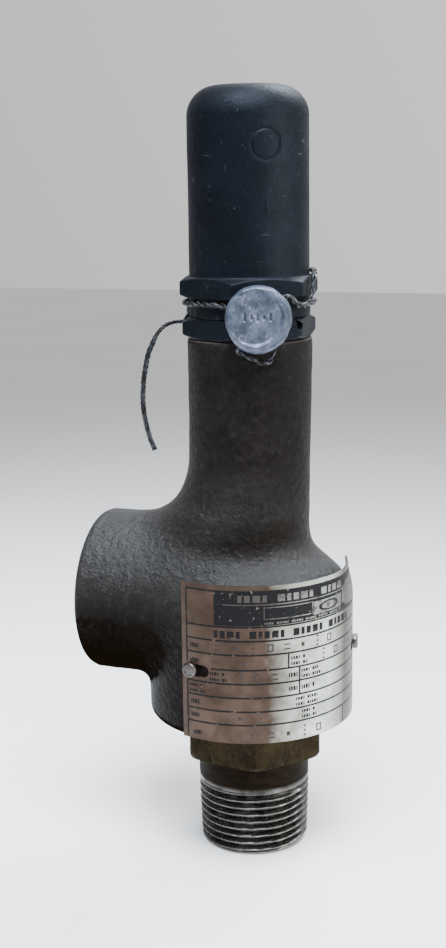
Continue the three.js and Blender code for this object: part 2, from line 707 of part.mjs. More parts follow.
function sealWireRoute() {
  const route = [];
  for (let turn = GROOVE_FROM_TURN; turn <= GROOVE_TO_TURN; turn += 16) {
    route.push(around(turn, GROOVE_RADIUS, GROOVE_Z));
  }
  for (const stop of WIRE_STOPS) route.push(around(...stop));
  route.push(HELD_END);
  return route;
}

const sealWire = () => wire(sealWireRoute(), WIRE_RADIUS, 90);

const sealWireTail = () => wire(TAIL_ROUTE, WIRE_RADIUS, 18);

function leadSeal() {
  const front = SEAL_BACK + SEAL_THICKNESS;
  const pressed = turned(
    [
      [0, SEAL_BACK],
      [SEAL_RADIUS - SEAL_EDGE, SEAL_BACK],
      [SEAL_RADIUS, SEAL_BACK + SEAL_EDGE],
      [SEAL_RADIUS, front - SEAL_EDGE],
      [SEAL_RADIUS - SEAL_EDGE, front],
      [SEAL_RADIUS - SEAL_RIM, front],
      [SEAL_RADIUS - SEAL_RIM - 0.3, front - SEAL_IMPRESSION],
      [0, front - SEAL_IMPRESSION],
    ],
    28,
  );
  const channel = wire(sealWireRoute(), WIRE_RADIUS + 0.35, 90);
  return geometryOf(cut(solidOf(pointOutward(pressed, SEAL_TURN, SEAL_Z)), solidOf(channel)));
}

// ---------------------------------------------------------------- finishes and assembly
const metal = (color, roughness, metalness = 1) =>
  new THREE.MeshStandardMaterial({ color, roughness, metalness });

const finishes = {
  casting: metal(0x2e2b27, 0.6, 0.6),
  blackened: metal(0x1b1e24, 0.45, 0.7),
  bronze: metal(0x5d4f2a, 0.5),
  stainless: metal(0x8d8c88, 0.35),
  springSteel: metal(0x4a4d52, 0.4),
  plate: metal(0x9b948a, 0.3),
  lead: metal(0x777d8c, 0.45, 0.8),
  wire: metal(0x4b4e54, 0.4),
  gasket: metal(0x5a4436, 0.8, 0.2),
};

const pieces = [
  ["body", body(), finishes.casting],
  ["inlet_base", inletBase(), finishes.bronze],
  ["inlet_nozzle", inletNozzle(), finishes.stainless],
  ["base_gasket", baseGasket(), finishes.gasket],
  ["disc_guide", discGuide(), finishes.stainless],
  ["disc", disc(), finishes.stainless],
  ["disc_retaining_ring", discRetainingRing(), finishes.springSteel],
  ["disc_holder", discHolder(), finishes.stainless],
  ["spindle", spindle(), finishes.stainless],
  ["lower_spring_washer", springWasher(LOWER_WASHER_Z, true), finishes.stainless],
  ["spring", spring(), finishes.springSteel],
  ["upper_spring_washer", springWasher(UPPER_WASHER_Z, false), finishes.stainless],
  ["top_plug_gasket", topPlugGasket(), finishes.gasket],
  ["top_plug", topPlug(), finishes.blackened],
  ["adjusting_screw", adjustingScrew(), finishes.stainless],
  ["lock_nut", lockNut(), finishes.stainless],
  ["cap_gasket", capGasket(), finishes.gasket],
  ["cap", cap(), finishes.blackened],
  ["nameplate", nameplate(), finishes.plate],
  ["nameplate_screw_left", driveScrew(plateScrewTurns[0]), finishes.stainless],
  ["nameplate_screw_right", driveScrew(plateScrewTurns[1]), finishes.stainless],
  ["seal_wire", sealWire(), finishes.wire],
  ["seal_wire_tail", sealWireTail(), finishes.wire],
  ["lead_seal", leadSeal(), finishes.lead],
];

const valve = new THREE.Group();
for (const [name, geometry, material] of pieces) {
  const mesh = new THREE.Mesh(geometry, material);
  mesh.name = name;
  valve.add(mesh);
}

export default valve;
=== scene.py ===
"""Looks of the pressure relief valve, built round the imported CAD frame.

Lengths in this file are millimetres in the CAD frame (+Z up the valve axis, outlet along -X)
and become metres when a mesh or an object is made.
"""
import math

import bpy
import numpy as np
from mathutils import Matrix, Vector


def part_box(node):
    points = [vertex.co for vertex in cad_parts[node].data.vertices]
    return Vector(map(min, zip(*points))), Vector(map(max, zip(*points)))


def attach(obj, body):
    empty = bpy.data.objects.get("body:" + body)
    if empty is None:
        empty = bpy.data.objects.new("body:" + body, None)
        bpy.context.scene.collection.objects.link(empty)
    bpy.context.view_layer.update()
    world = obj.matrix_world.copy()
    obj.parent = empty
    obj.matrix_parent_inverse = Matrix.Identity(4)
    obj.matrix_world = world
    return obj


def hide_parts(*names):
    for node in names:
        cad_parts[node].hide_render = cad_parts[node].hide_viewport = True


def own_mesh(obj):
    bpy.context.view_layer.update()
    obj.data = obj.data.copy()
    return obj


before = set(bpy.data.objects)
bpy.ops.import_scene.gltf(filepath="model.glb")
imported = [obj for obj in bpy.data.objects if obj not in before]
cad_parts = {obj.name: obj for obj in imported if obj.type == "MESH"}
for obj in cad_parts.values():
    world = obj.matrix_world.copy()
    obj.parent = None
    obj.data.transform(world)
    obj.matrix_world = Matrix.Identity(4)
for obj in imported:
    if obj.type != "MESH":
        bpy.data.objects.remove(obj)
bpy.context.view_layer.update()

MM = 0.001
TURN = 2 * math.pi


def box_mm(node):
    """Lowest and highest corner of a CAD node, in millimetres."""
    low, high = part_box(node)
    return np.array(low) / MM, np.array(high) / MM


def heights(node):
    """Lowest and highest height of a CAD node, in millimetres."""
    low, high = box_mm(node)
    return low[2], high[2]


# ---------------- sizes from the frame
BODY_LOW, BODY_HIGH = box_mm("body")
BODY_BOTTOM, BODY_TOP = heights("body")
CAP_BOTTOM, CAP_TOP = heights("cap")
PLUG_BOTTOM, PLUG_TOP = heights("top_plug")
BASE_BOTTOM, BASE_TOP = heights("inlet_base")
NUT_BOTTOM, NUT_TOP = heights("lock_nut")
SCREW_BOTTOM, SCREW_TOP = heights("adjusting_screw")
SPINDLE_BOTTOM, SPINDLE_TOP = heights("spindle")
PLATE_BOTTOM, PLATE_TOP = heights("nameplate")
HOLDER_BOTTOM, HOLDER_TOP = heights("disc_holder")
GUIDE_BOTTOM, GUIDE_TOP = heights("disc_guide")
SPRING_BOTTOM, SPRING_TOP = heights("spring")
NOZZLE_TOP = heights("inlet_nozzle")[1]
PLUG_HEX_BOTTOM = heights("top_plug_gasket")[1]
SCREW_RADIUS = box_mm("adjusting_screw")[1][0]

# sizes that a box doesn't hold, as in the CAD source
TUBE_RADIUS = 14.45
TUBE_FOOT_RADIUS = 14.15
BOWL_RADIUS = BODY_HIGH[1]
BOWL_LOWER_EDGE = 1.1
LEAN = 0.8
LEAN_FULL_BELOW, LEAN_NONE_ABOVE = 60.0, 118.0
CAVITY_FLOOR = 38.5
OUTLET_Z = 60.5
OUTLET_REACH = -BODY_LOW[0]
OUTLET_RADIUS = 19.7
OUTLET_EDGE = 1.8
OUTLET_BORE_RADIUS = 15.2
OUTLET_PITCH = 25.4 / 11.5
INLET_PITCH = 25.4 / 14
INLET_CREST_RADIUS = 13.0
INLET_THREAD_DEPTH = 1.3
PIPE_TAPER = 1 / 32
NECK_RADIUS = 13.45
BASE_HEX_FLATS = 31.2
BASE_HEX_TURN = -70.5
BASE_HEX_TOP = 32.6
TOP_HEX_TURN = -85.8
CAP_HEX_FLATS = 28.7
CAP_HEX_TOP = 138.1
CAP_RADIUS = 13.8
CAP_SHOULDER = 6.8
CAP_ROOM_TOP = 176.5
PLUG_HEX_FLATS = 27.9
PLUG_HEX_TOP = 129.0
WIRE_HOLE_Z = 127.6
COLLAR_RADIUS = 14.0
COLLAR_TOP = 132.6
SPIGOT_RADIUS = 11.2
CAP_THREAD_PITCH = 1.5
SCREW_PITCH = 1.27
NUT_FLATS = 17.5
PLATE_INNER = 24.4
PLATE_OUTER = 24.9
PLATE_FROM, PLATE_TO = -110.3, 20.0
PLATE_SLOT_HEIGHT = 2.9
PLATE_SLOT_TURNS = 7.2
PLATE_SCREW_Z = 50.3
PLATE_SCREW_TURNS = PLATE_FROM + 5.7, PLATE_TO - 5.7
SEAL_TURN = -66.4
SEAL_Z = 129.7
SEAL_RADIUS = 7.4
SEAL_BACK = 16.9
SEAL_THICKNESS = 4.2
WIRE_RADIUS = 0.65


# ---------------- camera
VIEW_AZIMUTH = 18.0
VIEW_DISTANCE = 324.0
VIEW_HEIGHT = 160.3
VIEW_PITCH = 12.0
VIEW_YAW = 1.18
VIEW_ROLL = -0.80
PICTURE_HEIGHT = 36.0
FOCAL_LENGTH = 53.1646


def add_object(name, data):
    obj = bpy.data.objects.new(name, data)
    bpy.context.scene.collection.objects.link(obj)
    return obj


def make_camera():
    data = bpy.data.cameras.new("camera")
    data.sensor_fit = "VERTICAL"
    data.sensor_height = PICTURE_HEIGHT
    data.lens = FOCAL_LENGTH
    data.clip_start = 0.01
    camera = add_object("camera", data)
    azimuth = math.radians(VIEW_AZIMUTH)
    place = Vector((math.sin(azimuth), -math.cos(azimuth), 0)) * VIEW_DISTANCE
    place.z = VIEW_HEIGHT
    turn = Matrix.Rotation(azimuth + math.radians(VIEW_YAW), 4, "Z")
    tilt = Matrix.Rotation(math.radians(90 - VIEW_PITCH), 4, "X")
    roll = Matrix.Rotation(math.radians(VIEW_ROLL), 4, "Z")
    camera.matrix_world = Matrix.Translation(place * MM) @ turn @ tilt @ roll
    bpy.context.scene.camera = camera


make_camera()


# ---------------- small numeric tools
def lattice_noise(points, seed):
    """Smooth value noise from -1 to 1 at points given in cells."""
    cell = np.floor(points).astype(np.int64)
    part = points - cell
    part = part * part * (3 - 2 * part)
    total = np.zeros(len(points))
    for corner in range(8):
        step = np.array([corner & 1, corner >> 1 & 1, corner >> 2 & 1])
        x, y, z = (cell + step).T
        mixed = x * 73856093 ^ y * 19349663 ^ z * 83492791 ^ seed * 2654435761
        mixed = (mixed ^ mixed >> 13) * 1274126177 & 0xFFFFFFFF
        value = (mixed & 0xFFFF) / 32767.5 - 1
        weight = np.prod(np.where(step, part, 1 - part), axis=1)
        total += value * weight
    return total


def layered_noise(points, scale, seed, layers=3):
    """Noise of a given feature size in millimetres, with finer layers on top."""
    total, share = np.zeros(len(points)), 1.0
    for layer in range(layers):
        total += share * lattice_noise(points / scale + 17.3 * layer, seed + layer)
        share, scale = share * 0.5, scale * 0.5
    return total


def smooth_step(low, high, value):
    t = np.clip((value - low) / (high - low), 0, 1)
    return t * t * (3 - 2 * t)


def smooth_min(a, b, reach):
    """The smaller of two values, with the crease between them rounded."""
    h = np.clip(0.5 + 0.5 * (b - a) / reach, 0, 1)
    return b + (a - b) * h - reach * h * (1 - h)


def arc(centre_r, centre_z, reach, rise, start, end, steps):
    """Outline points along an elliptic arc, angles in degrees."""
    angles = np.radians(np.linspace(start, end, steps + 1))
    return [(centre_r + reach * math.cos(a), centre_z + rise * math.sin(a)) for a in angles]


def refine(points, step):
    """The same outline with no stretch longer than step."""
    fine = [points[0]]
    for start, end in zip(points, points[1:]):
        count = max(1, math.ceil(math.dist(start, end) / step))
        for i in range(1, count + 1):
            t = i / count
            fine.append((start[0] + (end[0] - start[0]) * t, start[1] + (end[1] - start[1]) * t))
    return fine


def around(turn, radius, z):
    """The point at a direction round the valve axis in degrees, a distance out and a height."""
    angle = math.radians(turn)
    return np.array([radius * math.cos(angle), radius * math.sin(angle), z])


def on_bowl(turn, radius, z):
    """The same round the bowl's own axis, which stands a little towards the outlet."""
    return around(turn, radius, z) - (LEAN, 0, 0)


# ---------------- mesh tools
def new_mesh_object(name, points, faces, sharp=40):
    mesh = bpy.data.meshes.new(name)
    mesh.from_pydata(np.asarray(points, float) * MM, [], faces)
    mesh.validate()
    mesh.update()
    obj = add_object(name, mesh)
    shade(obj, sharp)
    return obj


def shade(obj, sharp):
    """Smooth shading with creases over the given angle in degrees."""
    mesh = obj.data
    mesh.polygons.foreach_set("use_smooth", np.ones(len(mesh.polygons), bool))
    mesh.set_sharp_from_angle(angle=math.radians(sharp))
    mesh.update()


def place_piece(obj, body, material, slot, *nodes):
    """Gives a finished piece its material and its body, and hides the CAD nodes that it stands for."""
    obj.data.materials.clear()
    obj.data.materials.append(material)
    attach(obj, body)
    if nodes:
        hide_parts(*nodes)


def grid_faces(rows, columns, closed):
    """Quads between neighbouring rows; columns wrap round, and rows do if closed."""
    i = np.arange(rows if closed else rows - 1)[:, None]
    j = np.arange(columns)[None, :]
    below = (i % rows) * columns
    above = ((i + 1) % rows) * columns
    after = (j + 1) % columns
    return np.stack([below + j, below + after, above + after, above + j], -1).reshape(-1, 4)


def turned_mesh(outline, facets, shape=None):
    """Points and faces of a turned piece. The outline runs counter-clockwise, as (radius, z).
    It closes on itself, or starts and ends on the axis. shape(angle, radius, z) may change radii."""
    capped = outline[0][0] == 0
    line = np.array(outline[1:-1] if capped else outline[:-1])
    angle = np.linspace(0, TURN, facets, endpoint=False)
    radius = np.repeat(line[:, :1], facets, 1)
    z = np.repeat(line[:, 1:], facets, 1)
    if shape is not None:
        radius = shape(angle[None, :] + 0 * radius, radius, z)
    points = np.stack([radius * np.cos(angle), radius * np.sin(angle), z], -1).reshape(-1, 3)
    faces = grid_faces(len(line), facets, not capped).tolist()
    if capped:
        points = np.vstack([points, [(0, 0, outline[0][1]), (0, 0, outline[-1][1])]])
        first, last = len(points) - 2, len(points) - 1
        top = (len(line) - 1) * facets
        for j in range(facets):
            after = (j + 1) % facets
            faces.append((first, after, j))
            faces.append((last, top + j, top + after))
    return points, faces


def turned_object(name, outline, facets, shape=None, sharp=40):
    points, faces = turned_mesh(outline, facets, shape)
    return new_mesh_object(name, points, faces, sharp)


def polygon_radius(angle, sides, across_flats, corner_turn):
    """Distance from the axis to the side of a regular polygon, for directions in radians."""
    off = (angle - math.radians(corner_turn)) % (TURN / sides) - TURN / sides / 2
    return across_flats / 2 / np.cos(off)


def hex_shape(across_flats, corner_turn, bottom, top, rounding):
    """Shapes the outer rows between two heights to a hexagon with worn corners."""
    def shape(angle, radius, z):
        side = polygon_radius(angle, 6, across_flats, corner_turn)
        outer = (z > bottom - 0.01) & (z < top + 0.01) & (radius > across_flats / 2 - 1.2)
        return np.where(outer, smooth_min(radius, side, rounding), radius)
    return shape


def thread_form(angle, z, pitch, flat=0.12):
    """1 on the crest and 0 in the root of a right-hand thread."""
    phase = (z / pitch - angle / TURN) % 1
    return np.clip((np.abs(2 * phase - 1) - flat) / (1 - 2 * flat), 0, 1)


def hex_chamfer(across_flats, bottom, top, land, slope):
    """Outline points, bottom to top, of the cone-chamfered envelope of a hexagon."""
    corner = across_flats / 2 / math.cos(TURN / 12) + 0.3
    flat = across_flats / 2 - land
    drop = (corner - flat) * slope
    return [(flat, bottom), (corner, bottom + drop), (corner, top - drop), (flat, top)]


def cut_away(obj, sharp, *cutters):
    """Subtracts cutters from a piece, removes them and shades the piece again."""
    for cutter in cutters:
        modifier = obj.modifiers.new("cut", "BOOLEAN")
        modifier.operation = "DIFFERENCE"
        modifier.solver = "EXACT"
        modifier.object = cutter
        bpy.context.view_layer.update()
        graph = bpy.context.evaluated_depsgraph_get()
        mesh = bpy.data.meshes.new_from_object(obj.evaluated_get(graph))
        obj.modifiers.clear()
        obj.data = mesh
        bpy.data.objects.remove(cutter)
    shade(obj, sharp)


def move_points(obj, function):
    """Passes a mesh's points, in millimetres, through a function."""
    mesh = obj.data
    flat = np.zeros(len(mesh.vertices) * 3)
    mesh.vertices.foreach_get("co", flat)
    points = function(flat.reshape(-1, 3) / MM)
    mesh.vertices.foreach_set("co", (points * MM).ravel())
    mesh.update()


def laid(points, turn, z):
    """Points of a piece drawn along +Z, laid so that it points outward from the valve axis. The
    piece's own +X is then level, to the right as seen from outside, and its +Y is up."""
    angle = math.radians(turn)
    side = (-math.sin(angle), math.cos(angle), 0)
    out = (math.cos(angle), math.sin(angle), 0)
    return points @ np.array([side, (0, 0, 1), out]) + (0, 0, z)


def from_axis(points):
    return np.hypot(points[:, 0], points[:, 1])


def pushed_out(points, push):
    """Points moved away from the valve axis by the given distances."""
    return points + points * (1, 1, 0) * (push / np.maximum(from_axis(points), 0.5))[:, None]


# ---------------- procedural materials
class Nodes:
    """A short way to write shader nodes. Coordinates are millimetres in the piece's frame."""

    def __init__(self, owner):
        owner.use_nodes = True
        self.owner = owner
        self.tree = owner.node_tree
        self.coordinates = self.add("TexCoord").outputs
        in_metres = self.coordinates["Object"]
        self.place = self.add("Mapping", Vector=in_metres, Scale=(1 / MM, 1 / MM, 1 / MM)).outputs[0]

    def put(self, value, socket):
        """Links another node's output to a socket, or gives the socket a value."""
        if isinstance(value, bpy.types.NodeSocket):
            self.tree.links.new(value, socket)
        elif socket.type == "RGBA":
            socket.default_value = (*value, 1.0)
        else:
            socket.default_value = value

    def add(self, kind, **inputs):
        node = self.tree.nodes.new("ShaderNode" + kind)
        for name, value in inputs.items():
            self.put(value, node.inputs[name.replace("_", " ")])
        return node

    def stretched(self, scale):
        return self.add("Mapping", Vector=self.place, Scale=scale).outputs[0]

    def noise(self, size, detail=4, rough=0.55, place=None, distortion=0.0):
        node = self.add("TexNoise", Vector=place or self.place, Scale=1 / size, Detail=detail)
        node.inputs["Roughness"].default_value = rough
        node.inputs["Distortion"].default_value = distortion
        return node.outputs["Fac"]

    def math(self, operation, a, b):
        node = self.add("Math")
        node.operation = operation
        self.put(a, node.inputs[0])
        self.put(b, node.inputs[1])
        return node.outputs[0]

    def ramp(self, value, low, high, start=0.0, end=1.0):
        """Maps low..high onto start..end, clamped."""
        node = self.add("MapRange", Value=value, From_Min=low, From_Max=high, To_Min=start, To_Max=end)
        return node.outputs[0]

    def mix(self, share, first, second):
        """Blends two colours."""
        node = self.add("Mix")
        node.data_type = "RGBA"
        for value, socket in ((share, 0), (first, 6), (second, 7)):
            self.put(value, node.inputs[socket])
        return node.outputs[2]

    def blend(self, value, low, high, first, second):
        """Runs from the first colour to the second as a value runs from low to high."""
        return self.mix(self.ramp(value, low, high), first, second)

    def wash(self, tone, mask, share, color):
        """Covers a tone with a share of a colour where the mask is 1."""
        return self.mix(self.math("MULTIPLY", mask, share), tone, color)

    def height(self, value, depth, under=None):
        """Bump of a given depth in millimetres, on top of another one if given."""
        node = self.add("Bump", Strength=1.0, Distance=depth * MM, Height=value)
        if under is not None:
            self.put(under, node.inputs["Normal"])
        return node.outputs["Normal"]

    def edges(self):
        """Bright on convex edges and dark in hollows, about 0.5 on flats."""
        return self.add("NewGeometry").outputs["Pointiness"]

    def along(self, axis, vector=None):
        """One coordinate of the place in millimetres, or of another vector."""
        return self.add("SeparateXYZ", Vector=vector or self.place).outputs[axis]

    def facing_up(self):
        """1 on faces that look straight up, -1 on undersides."""
        return self.along("Z", self.add("NewGeometry").outputs["Normal"])

    def finish(self, color, roughness, metallic, normal=None, **sockets):
        sockets.update(Base_Color=color, Roughness=roughness, Metallic=metallic)
        if normal is not None:
            sockets["Normal"] = normal
        for name, value in sockets.items():
            self.put(value, self.tree.nodes["Principled BSDF"].inputs[name.replace("_", " ")])
        return self.owner


def new_material(name):
    return Nodes(bpy.data.materials.new(name))


def casting_material():
    """Dark brown-grey cast skin over a cloudy tone: fine pebbles with painted glints on their tops, a
    painted sheen of the top light on faces that look up and painted shade on undersides.
    """
    n = new_material("cast_skin")
    pebble = n.noise(1.5, detail=5, rough=0.6)
    grit = n.noise(0.3, detail=3, rough=0.6)
    up = n.facing_up()
    tone = n.blend(n.noise(14.0, detail=5), 0.35, 0.68, (0.004, 0.003, 0.0022), (0.0088, 0.0071, 0.0058))
    # painted glints: pebble tops are painted lighter, and the pebble pits darker
    tone = n.blend(pebble, 0.52, 0.75, tone, (0.016, 0.0142, 0.0128))
    tone = n.blend(pebble, 0.42, 0.34, tone, (0.003, 0.0024, 0.002))
    # painted light: faces that look up are painted lighter and bluer, a sheen of the top light
    tone = n.mix(n.ramp(up, 0.25, 0.85, 0.0, 0.35), tone, (0.02, 0.021, 0.0225))
    # painted shade: undersides are painted darker brown
    tone = n.mix(n.ramp(up, -0.1, -0.6, 0.0, 0.9), tone, (0.0045, 0.0027, 0.0013))
    # painted shade on reflections: their strength follows facing up, none on undersides, and fades towards
    # the bottom
    gloss_fade_below = n.ramp(n.along("Z"), 66.0, 40.0, 1.0, 0.3)
    gloss = n.math("MULTIPLY", n.ramp(up, -0.15, 0.45, 0.0, 0.3), gloss_fade_below)
    normal = n.height(pebble, 0.7, under=n.height(grit, 0.16))
    return n.finish(tone, n.ramp(grit, 0.35, 0.7, 0.5, 0.3), 0.0, normal, Specular_IOR_Level=gloss)


def blackened_material():
    """Blue-black oxide with fine light scratches, dust specks and worn edges."""
    n = new_material("black_oxide")
    cloud = n.noise(9.0, detail=6)
    scratches = [
        n.ramp(n.noise(size, detail=1, place=n.stretched(scale)), 0.72, 0.78)
        for scale, size in (((0.25, 0.25, 3.2), 1.3), ((2.6, 0.4, 0.9), 1.6), ((0.5, 2.4, 1.1), 1.9))
    ]
    scratched = n.math("MAXIMUM", n.math("MAXIMUM", *scratches[:2]), scratches[2])
    scratched = n.math("MULTIPLY", scratched, n.ramp(n.noise(5.0, detail=2), 0.5, 0.62))
    tone = n.blend(cloud, 0.35, 0.7, (0.0014, 0.002, 0.0036), (0.0036, 0.0049, 0.0082))
    tone = n.wash(tone, scratched, 0.45, (0.06, 0.065, 0.075))
    tone = n.wash(tone, n.ramp(n.edges(), 0.53, 0.6), 0.35, (0.05, 0.055, 0.065))
    tone = n.wash(tone, n.ramp(n.noise(0.5, detail=1), 0.75, 0.8), 0.3, (0.1, 0.1, 0.1))
    rough = n.ramp(cloud, 0.3, 0.7, 0.55, 0.44)
    normal = n.height(n.noise(1.3, detail=6, rough=0.65), 0.16, under=n.height(scratched, 0.05))
    blue = (0.72, 0.86, 1.0)
    return n.finish(tone, rough, 0.0, normal, Specular_IOR_Level=0.12, Specular_Tint=blue)


def bronze_material():
    """Tarnished olive bronze with dark casting pits."""
    n = new_material("tarnished_bronze")
    cloud = n.noise(4.5, detail=6)
    pits = n.ramp(n.noise(0.9, detail=3), 0.37, 0.31)
    tone = n.blend(cloud, 0.35, 0.68, (0.007, 0.0045, 0.0013), (0.024, 0.0155, 0.0052))
    tone = n.blend(n.noise(1.1), 0.5, 0.7, tone, (0.022, 0.0155, 0.0062))
    tone = n.mix(pits, tone, (0.008, 0.006, 0.003))
    tone = n.wash(tone, n.ramp(n.edges(), 0.49, 0.45), 0.6, (0.01, 0.0075, 0.003))
    height = n.math("SUBTRACT", n.noise(1.0), n.math("MULTIPLY", pits, 0.6))
    rough = n.ramp(cloud, 0.3, 0.7, 0.54, 0.38)
    return n.finish(tone, rough, 0.4, n.height(height, 0.12), Specular_IOR_Level=0.06)


def turned_steel_material(name, low, high, roughness):
    """Lathe-turned steel: fine rings round the axis and a light stain."""
    n = new_material(name)
    rings = n.noise(0.35, detail=3, place=n.stretched((0.06, 0.06, 1.6)))
    stain = n.noise(5.0, detail=5)
    stained = n.ramp(stain, 0.3, 0.7, roughness + 0.07, roughness)
    rough = n.math("ADD", n.ramp(rings, 0.3, 0.7, -0.06, 0.08), stained)
    return n.finish(n.blend(stain, 0.35, 0.7, low, high), rough, 1.0, n.height(rings, 0.02))


def nozzle_material():
    """Steel nozzle: thread crests painted bright, partly wear and partly a painted highlight; darker thread
    roots; brown stain on the smooth band.
    """
    n = new_material("nozzle_steel")
    stain = n.noise(4.0, detail=6)
    band = n.ramp(n.along("Z"), 16.3, 17.4)
    streaks = n.noise(1.6, detail=5, place=n.stretched((0.5, 0.5, 1.6)))
    steel = n.blend(stain, 0.35, 0.7, (0.04, 0.038, 0.033), (0.13, 0.126, 0.116))
    brown = n.blend(streaks, 0.35, 0.7, (0.004, 0.0024, 0.0009), (0.0125, 0.0078, 0.0036))
    tone = n.mix(band, steel, brown)
    # thread crests painted bright: partly wear, partly a painted highlight
    tone = n.wash(tone, n.ramp(n.edges(), 0.52, 0.62), 0.5, (0.5, 0.5, 0.47))
    # darker in the thread roots
    tone = n.wash(tone, n.ramp(n.edges(), 0.485, 0.42), 0.9, (0.01, 0.0085, 0.0065))
    rough = n.math("ADD", n.ramp(stain, 0.3, 0.7, 0.34, 0.2), n.math("MULTIPLY", band, 0.3))
    rings = n.noise(0.3, detail=3, place=n.stretched((0.08, 0.08, 1.5)))
    metallic = n.ramp(band, 0, 1, 1.0, 0.1)
    return n.finish(tone, rough, metallic, n.height(rings, 0.03), Specular_IOR_Level=0.03)


def sheet_painted_reflection(n):
    """Painted reflection: brownish at the left, fading into pale metal towards the right and brownish again
    at the far right, with smears.
    """
    smear = n.noise(6.0, detail=6, distortion=0.6)
    across = n.math("ADD", n.along("X"), n.ramp(smear, 0.25, 0.75, -1.5, 1.5))
    # painted reflection: brownish at the left, pale metal further right
    painted_warm_reflection = n.blend(smear, 0.3, 0.7, (0.035, 0.0215, 0.0145), (0.078, 0.052, 0.038))
    painted_pale_reflection = n.blend(smear, 0.3, 0.7, (0.34, 0.353, 0.3), (0.58, 0.6, 0.53))
    tone = n.blend(across, 10.5, 20.0, painted_warm_reflection, painted_pale_reflection)
    # painted reflection: brownish again at the far right of the sheet
    return n.blend(n.along("Y"), -10.0, -4.0, tone, (0.07, 0.053, 0.041)), smear


def plate_material():
    """Thin brushed sheet with a painted reflection that fades from brownish to pale towards one side, smears
    and nicks.
    """
    n = new_material("plate_metal")
    grain = n.noise(0.25, place=n.stretched((0.05, 0.05, 2.5)))
    tone, smear = sheet_painted_reflection(n)
    tone = n.wash(tone, n.ramp(n.noise(0.7, detail=2), 0.74, 0.8), 0.6, (0.05, 0.04, 0.03))
    rough = n.math("ADD", n.ramp(grain, 0.3, 0.7, -0.05, 0.07), n.ramp(smear, 0.3, 0.7, 0.42, 0.32))
    normal = n.height(grain, 0.012, under=n.height(n.noise(11.0, detail=2), 0.25))
    return n.finish(tone, rough, 0.7, normal, Specular_IOR_Level=0.2)


def clear_mark_material():
    """Unprinted metal that shows through the black panel, rubbed grey in places."""
    n = new_material("plate_clear_marks")
    # the sheet's painted reflection shows through here too
    tone, _ = sheet_painted_reflection(n)
    worn = n.ramp(n.noise(1.3, detail=5), 0.5, 0.62)
    tone = n.mix(n.ramp(worn, 0, 1, 0.6, 0.95), tone, (0.03, 0.027, 0.025))
    return n.finish(tone, 0.4, 0.4, n.height(worn, 0.01))


def ink_material():
    """Black printing ink, slightly worn, with the metal showing through in specks."""
    n = new_material("plate_ink")
    worn = n.ramp(n.noise(0.8, detail=6), 0.62, 0.68)
    tone = n.mix(worn, (0.004, 0.004, 0.0045), (0.1, 0.08, 0.065))
    rough = n.ramp(worn, 0, 1, 0.5, 0.36)
    return n.finish(tone, rough, 0.0, n.height(worn, 0.01), Specular_IOR_Level=0.12)


def stamp_shade_material():
    """Painted shade of the stamped marks: dark bars, a little proud of the sheet, that stand for the shade
    inside the punched dents.
    """
    n = new_material("stamp_painted_shade")
    # painted shade: the marks are dark all over
    tone = n.blend(n.noise(0.5, detail=3), 0.4, 0.6, (0.008, 0.0062, 0.005), (0.026, 0.021, 0.017))
    return n.finish(tone, 0.4, 0.5)


def lead_material():
    """Soft blue-grey lead: dull in the hollows, bright where it was squeezed."""
    n = new_material("pressed_lead")
    cloud = n.noise(2.2, detail=6)
    scuffs = n.ramp(n.noise(0.5, place=n.stretched((1.0, 1.0, 0.35))), 0.62, 0.72)
    tone = n.blend(cloud, 0.35, 0.68, (0.032, 0.041, 0.063), (0.105, 0.127, 0.178))
    tone = n.wash(tone, n.ramp(n.edges(), 0.54, 0.64), 0.5, (0.3, 0.325, 0.37))
    tone = n.wash(tone, n.ramp(n.edges(), 0.48, 0.4), 0.8, (0.03, 0.034, 0.045))
    tone = n.wash(tone, scuffs, 0.4, (0.36, 0.39, 0.44))
    rough = n.ramp(cloud, 0.3, 0.7, 0.5, 0.33)
    return n.finish(tone, rough, 0.5, n.height(n.noise(0.7, detail=5), 0.16))


def wire_material():
    """Dark drawn steel wire with grey rubbed spots."""
    n = new_material("sealing_wire")
    rubbed = n.ramp(n.noise(1.4), 0.45, 0.65)
    tone = n.mix(rubbed, (0.008, 0.0085, 0.01), (0.07, 0.074, 0.085))
    rough = n.ramp(rubbed, 0, 1, 0.5, 0.34)
    return n.finish(tone, rough, 0.6, n.height(n.noise(0.3, detail=3), 0.02))


def gasket_material():
    """Brown fibre sheet."""
    n = new_material("fibre_gasket")
    fibre = n.noise(0.5, detail=5, place=n.stretched((1.0, 1.0, 0.3)))
    tone = n.blend(fibre, 0.35, 0.65, (0.008, 0.0045, 0.003), (0.03, 0.017, 0.011))
    return n.finish(tone, 0.85, 0.0, n.height(fibre, 0.05))


CASTING = casting_material()
BLACKENED = blackened_material()
BRONZE = bronze_material()
NOZZLE = nozzle_material()
INNER_STEEL = turned_steel_material("turned_steel", (0.2, 0.2, 0.19), (0.38, 0.38, 0.36), 0.3)
SCREW_STEEL = turned_steel_material("drive_screw_steel", (0.06, 0.052, 0.048), (0.16, 0.145, 0.135), 0.34)
SPRING_STEEL = turned_steel_material("spring_steel", (0.04, 0.042, 0.047), (0.11, 0.115, 0.125), 0.38)
PLATE = plate_material()
CLEAR = clear_mark_material()
INK = ink_material()
STAMP = stamp_shade_material()
LEAD = lead_material()
WIRE = wire_material()
GASKET = gasket_material()


# ---------------- sealing wire
GROOVE_Z = 132.05
GROOVE_RADIUS = COLLAR_RADIUS + WIRE_RADIUS + 0.25
SEAL_MIDDLE = SEAL_BACK + SEAL_THICKNESS / 2
TWIST_PITCH = 5.0

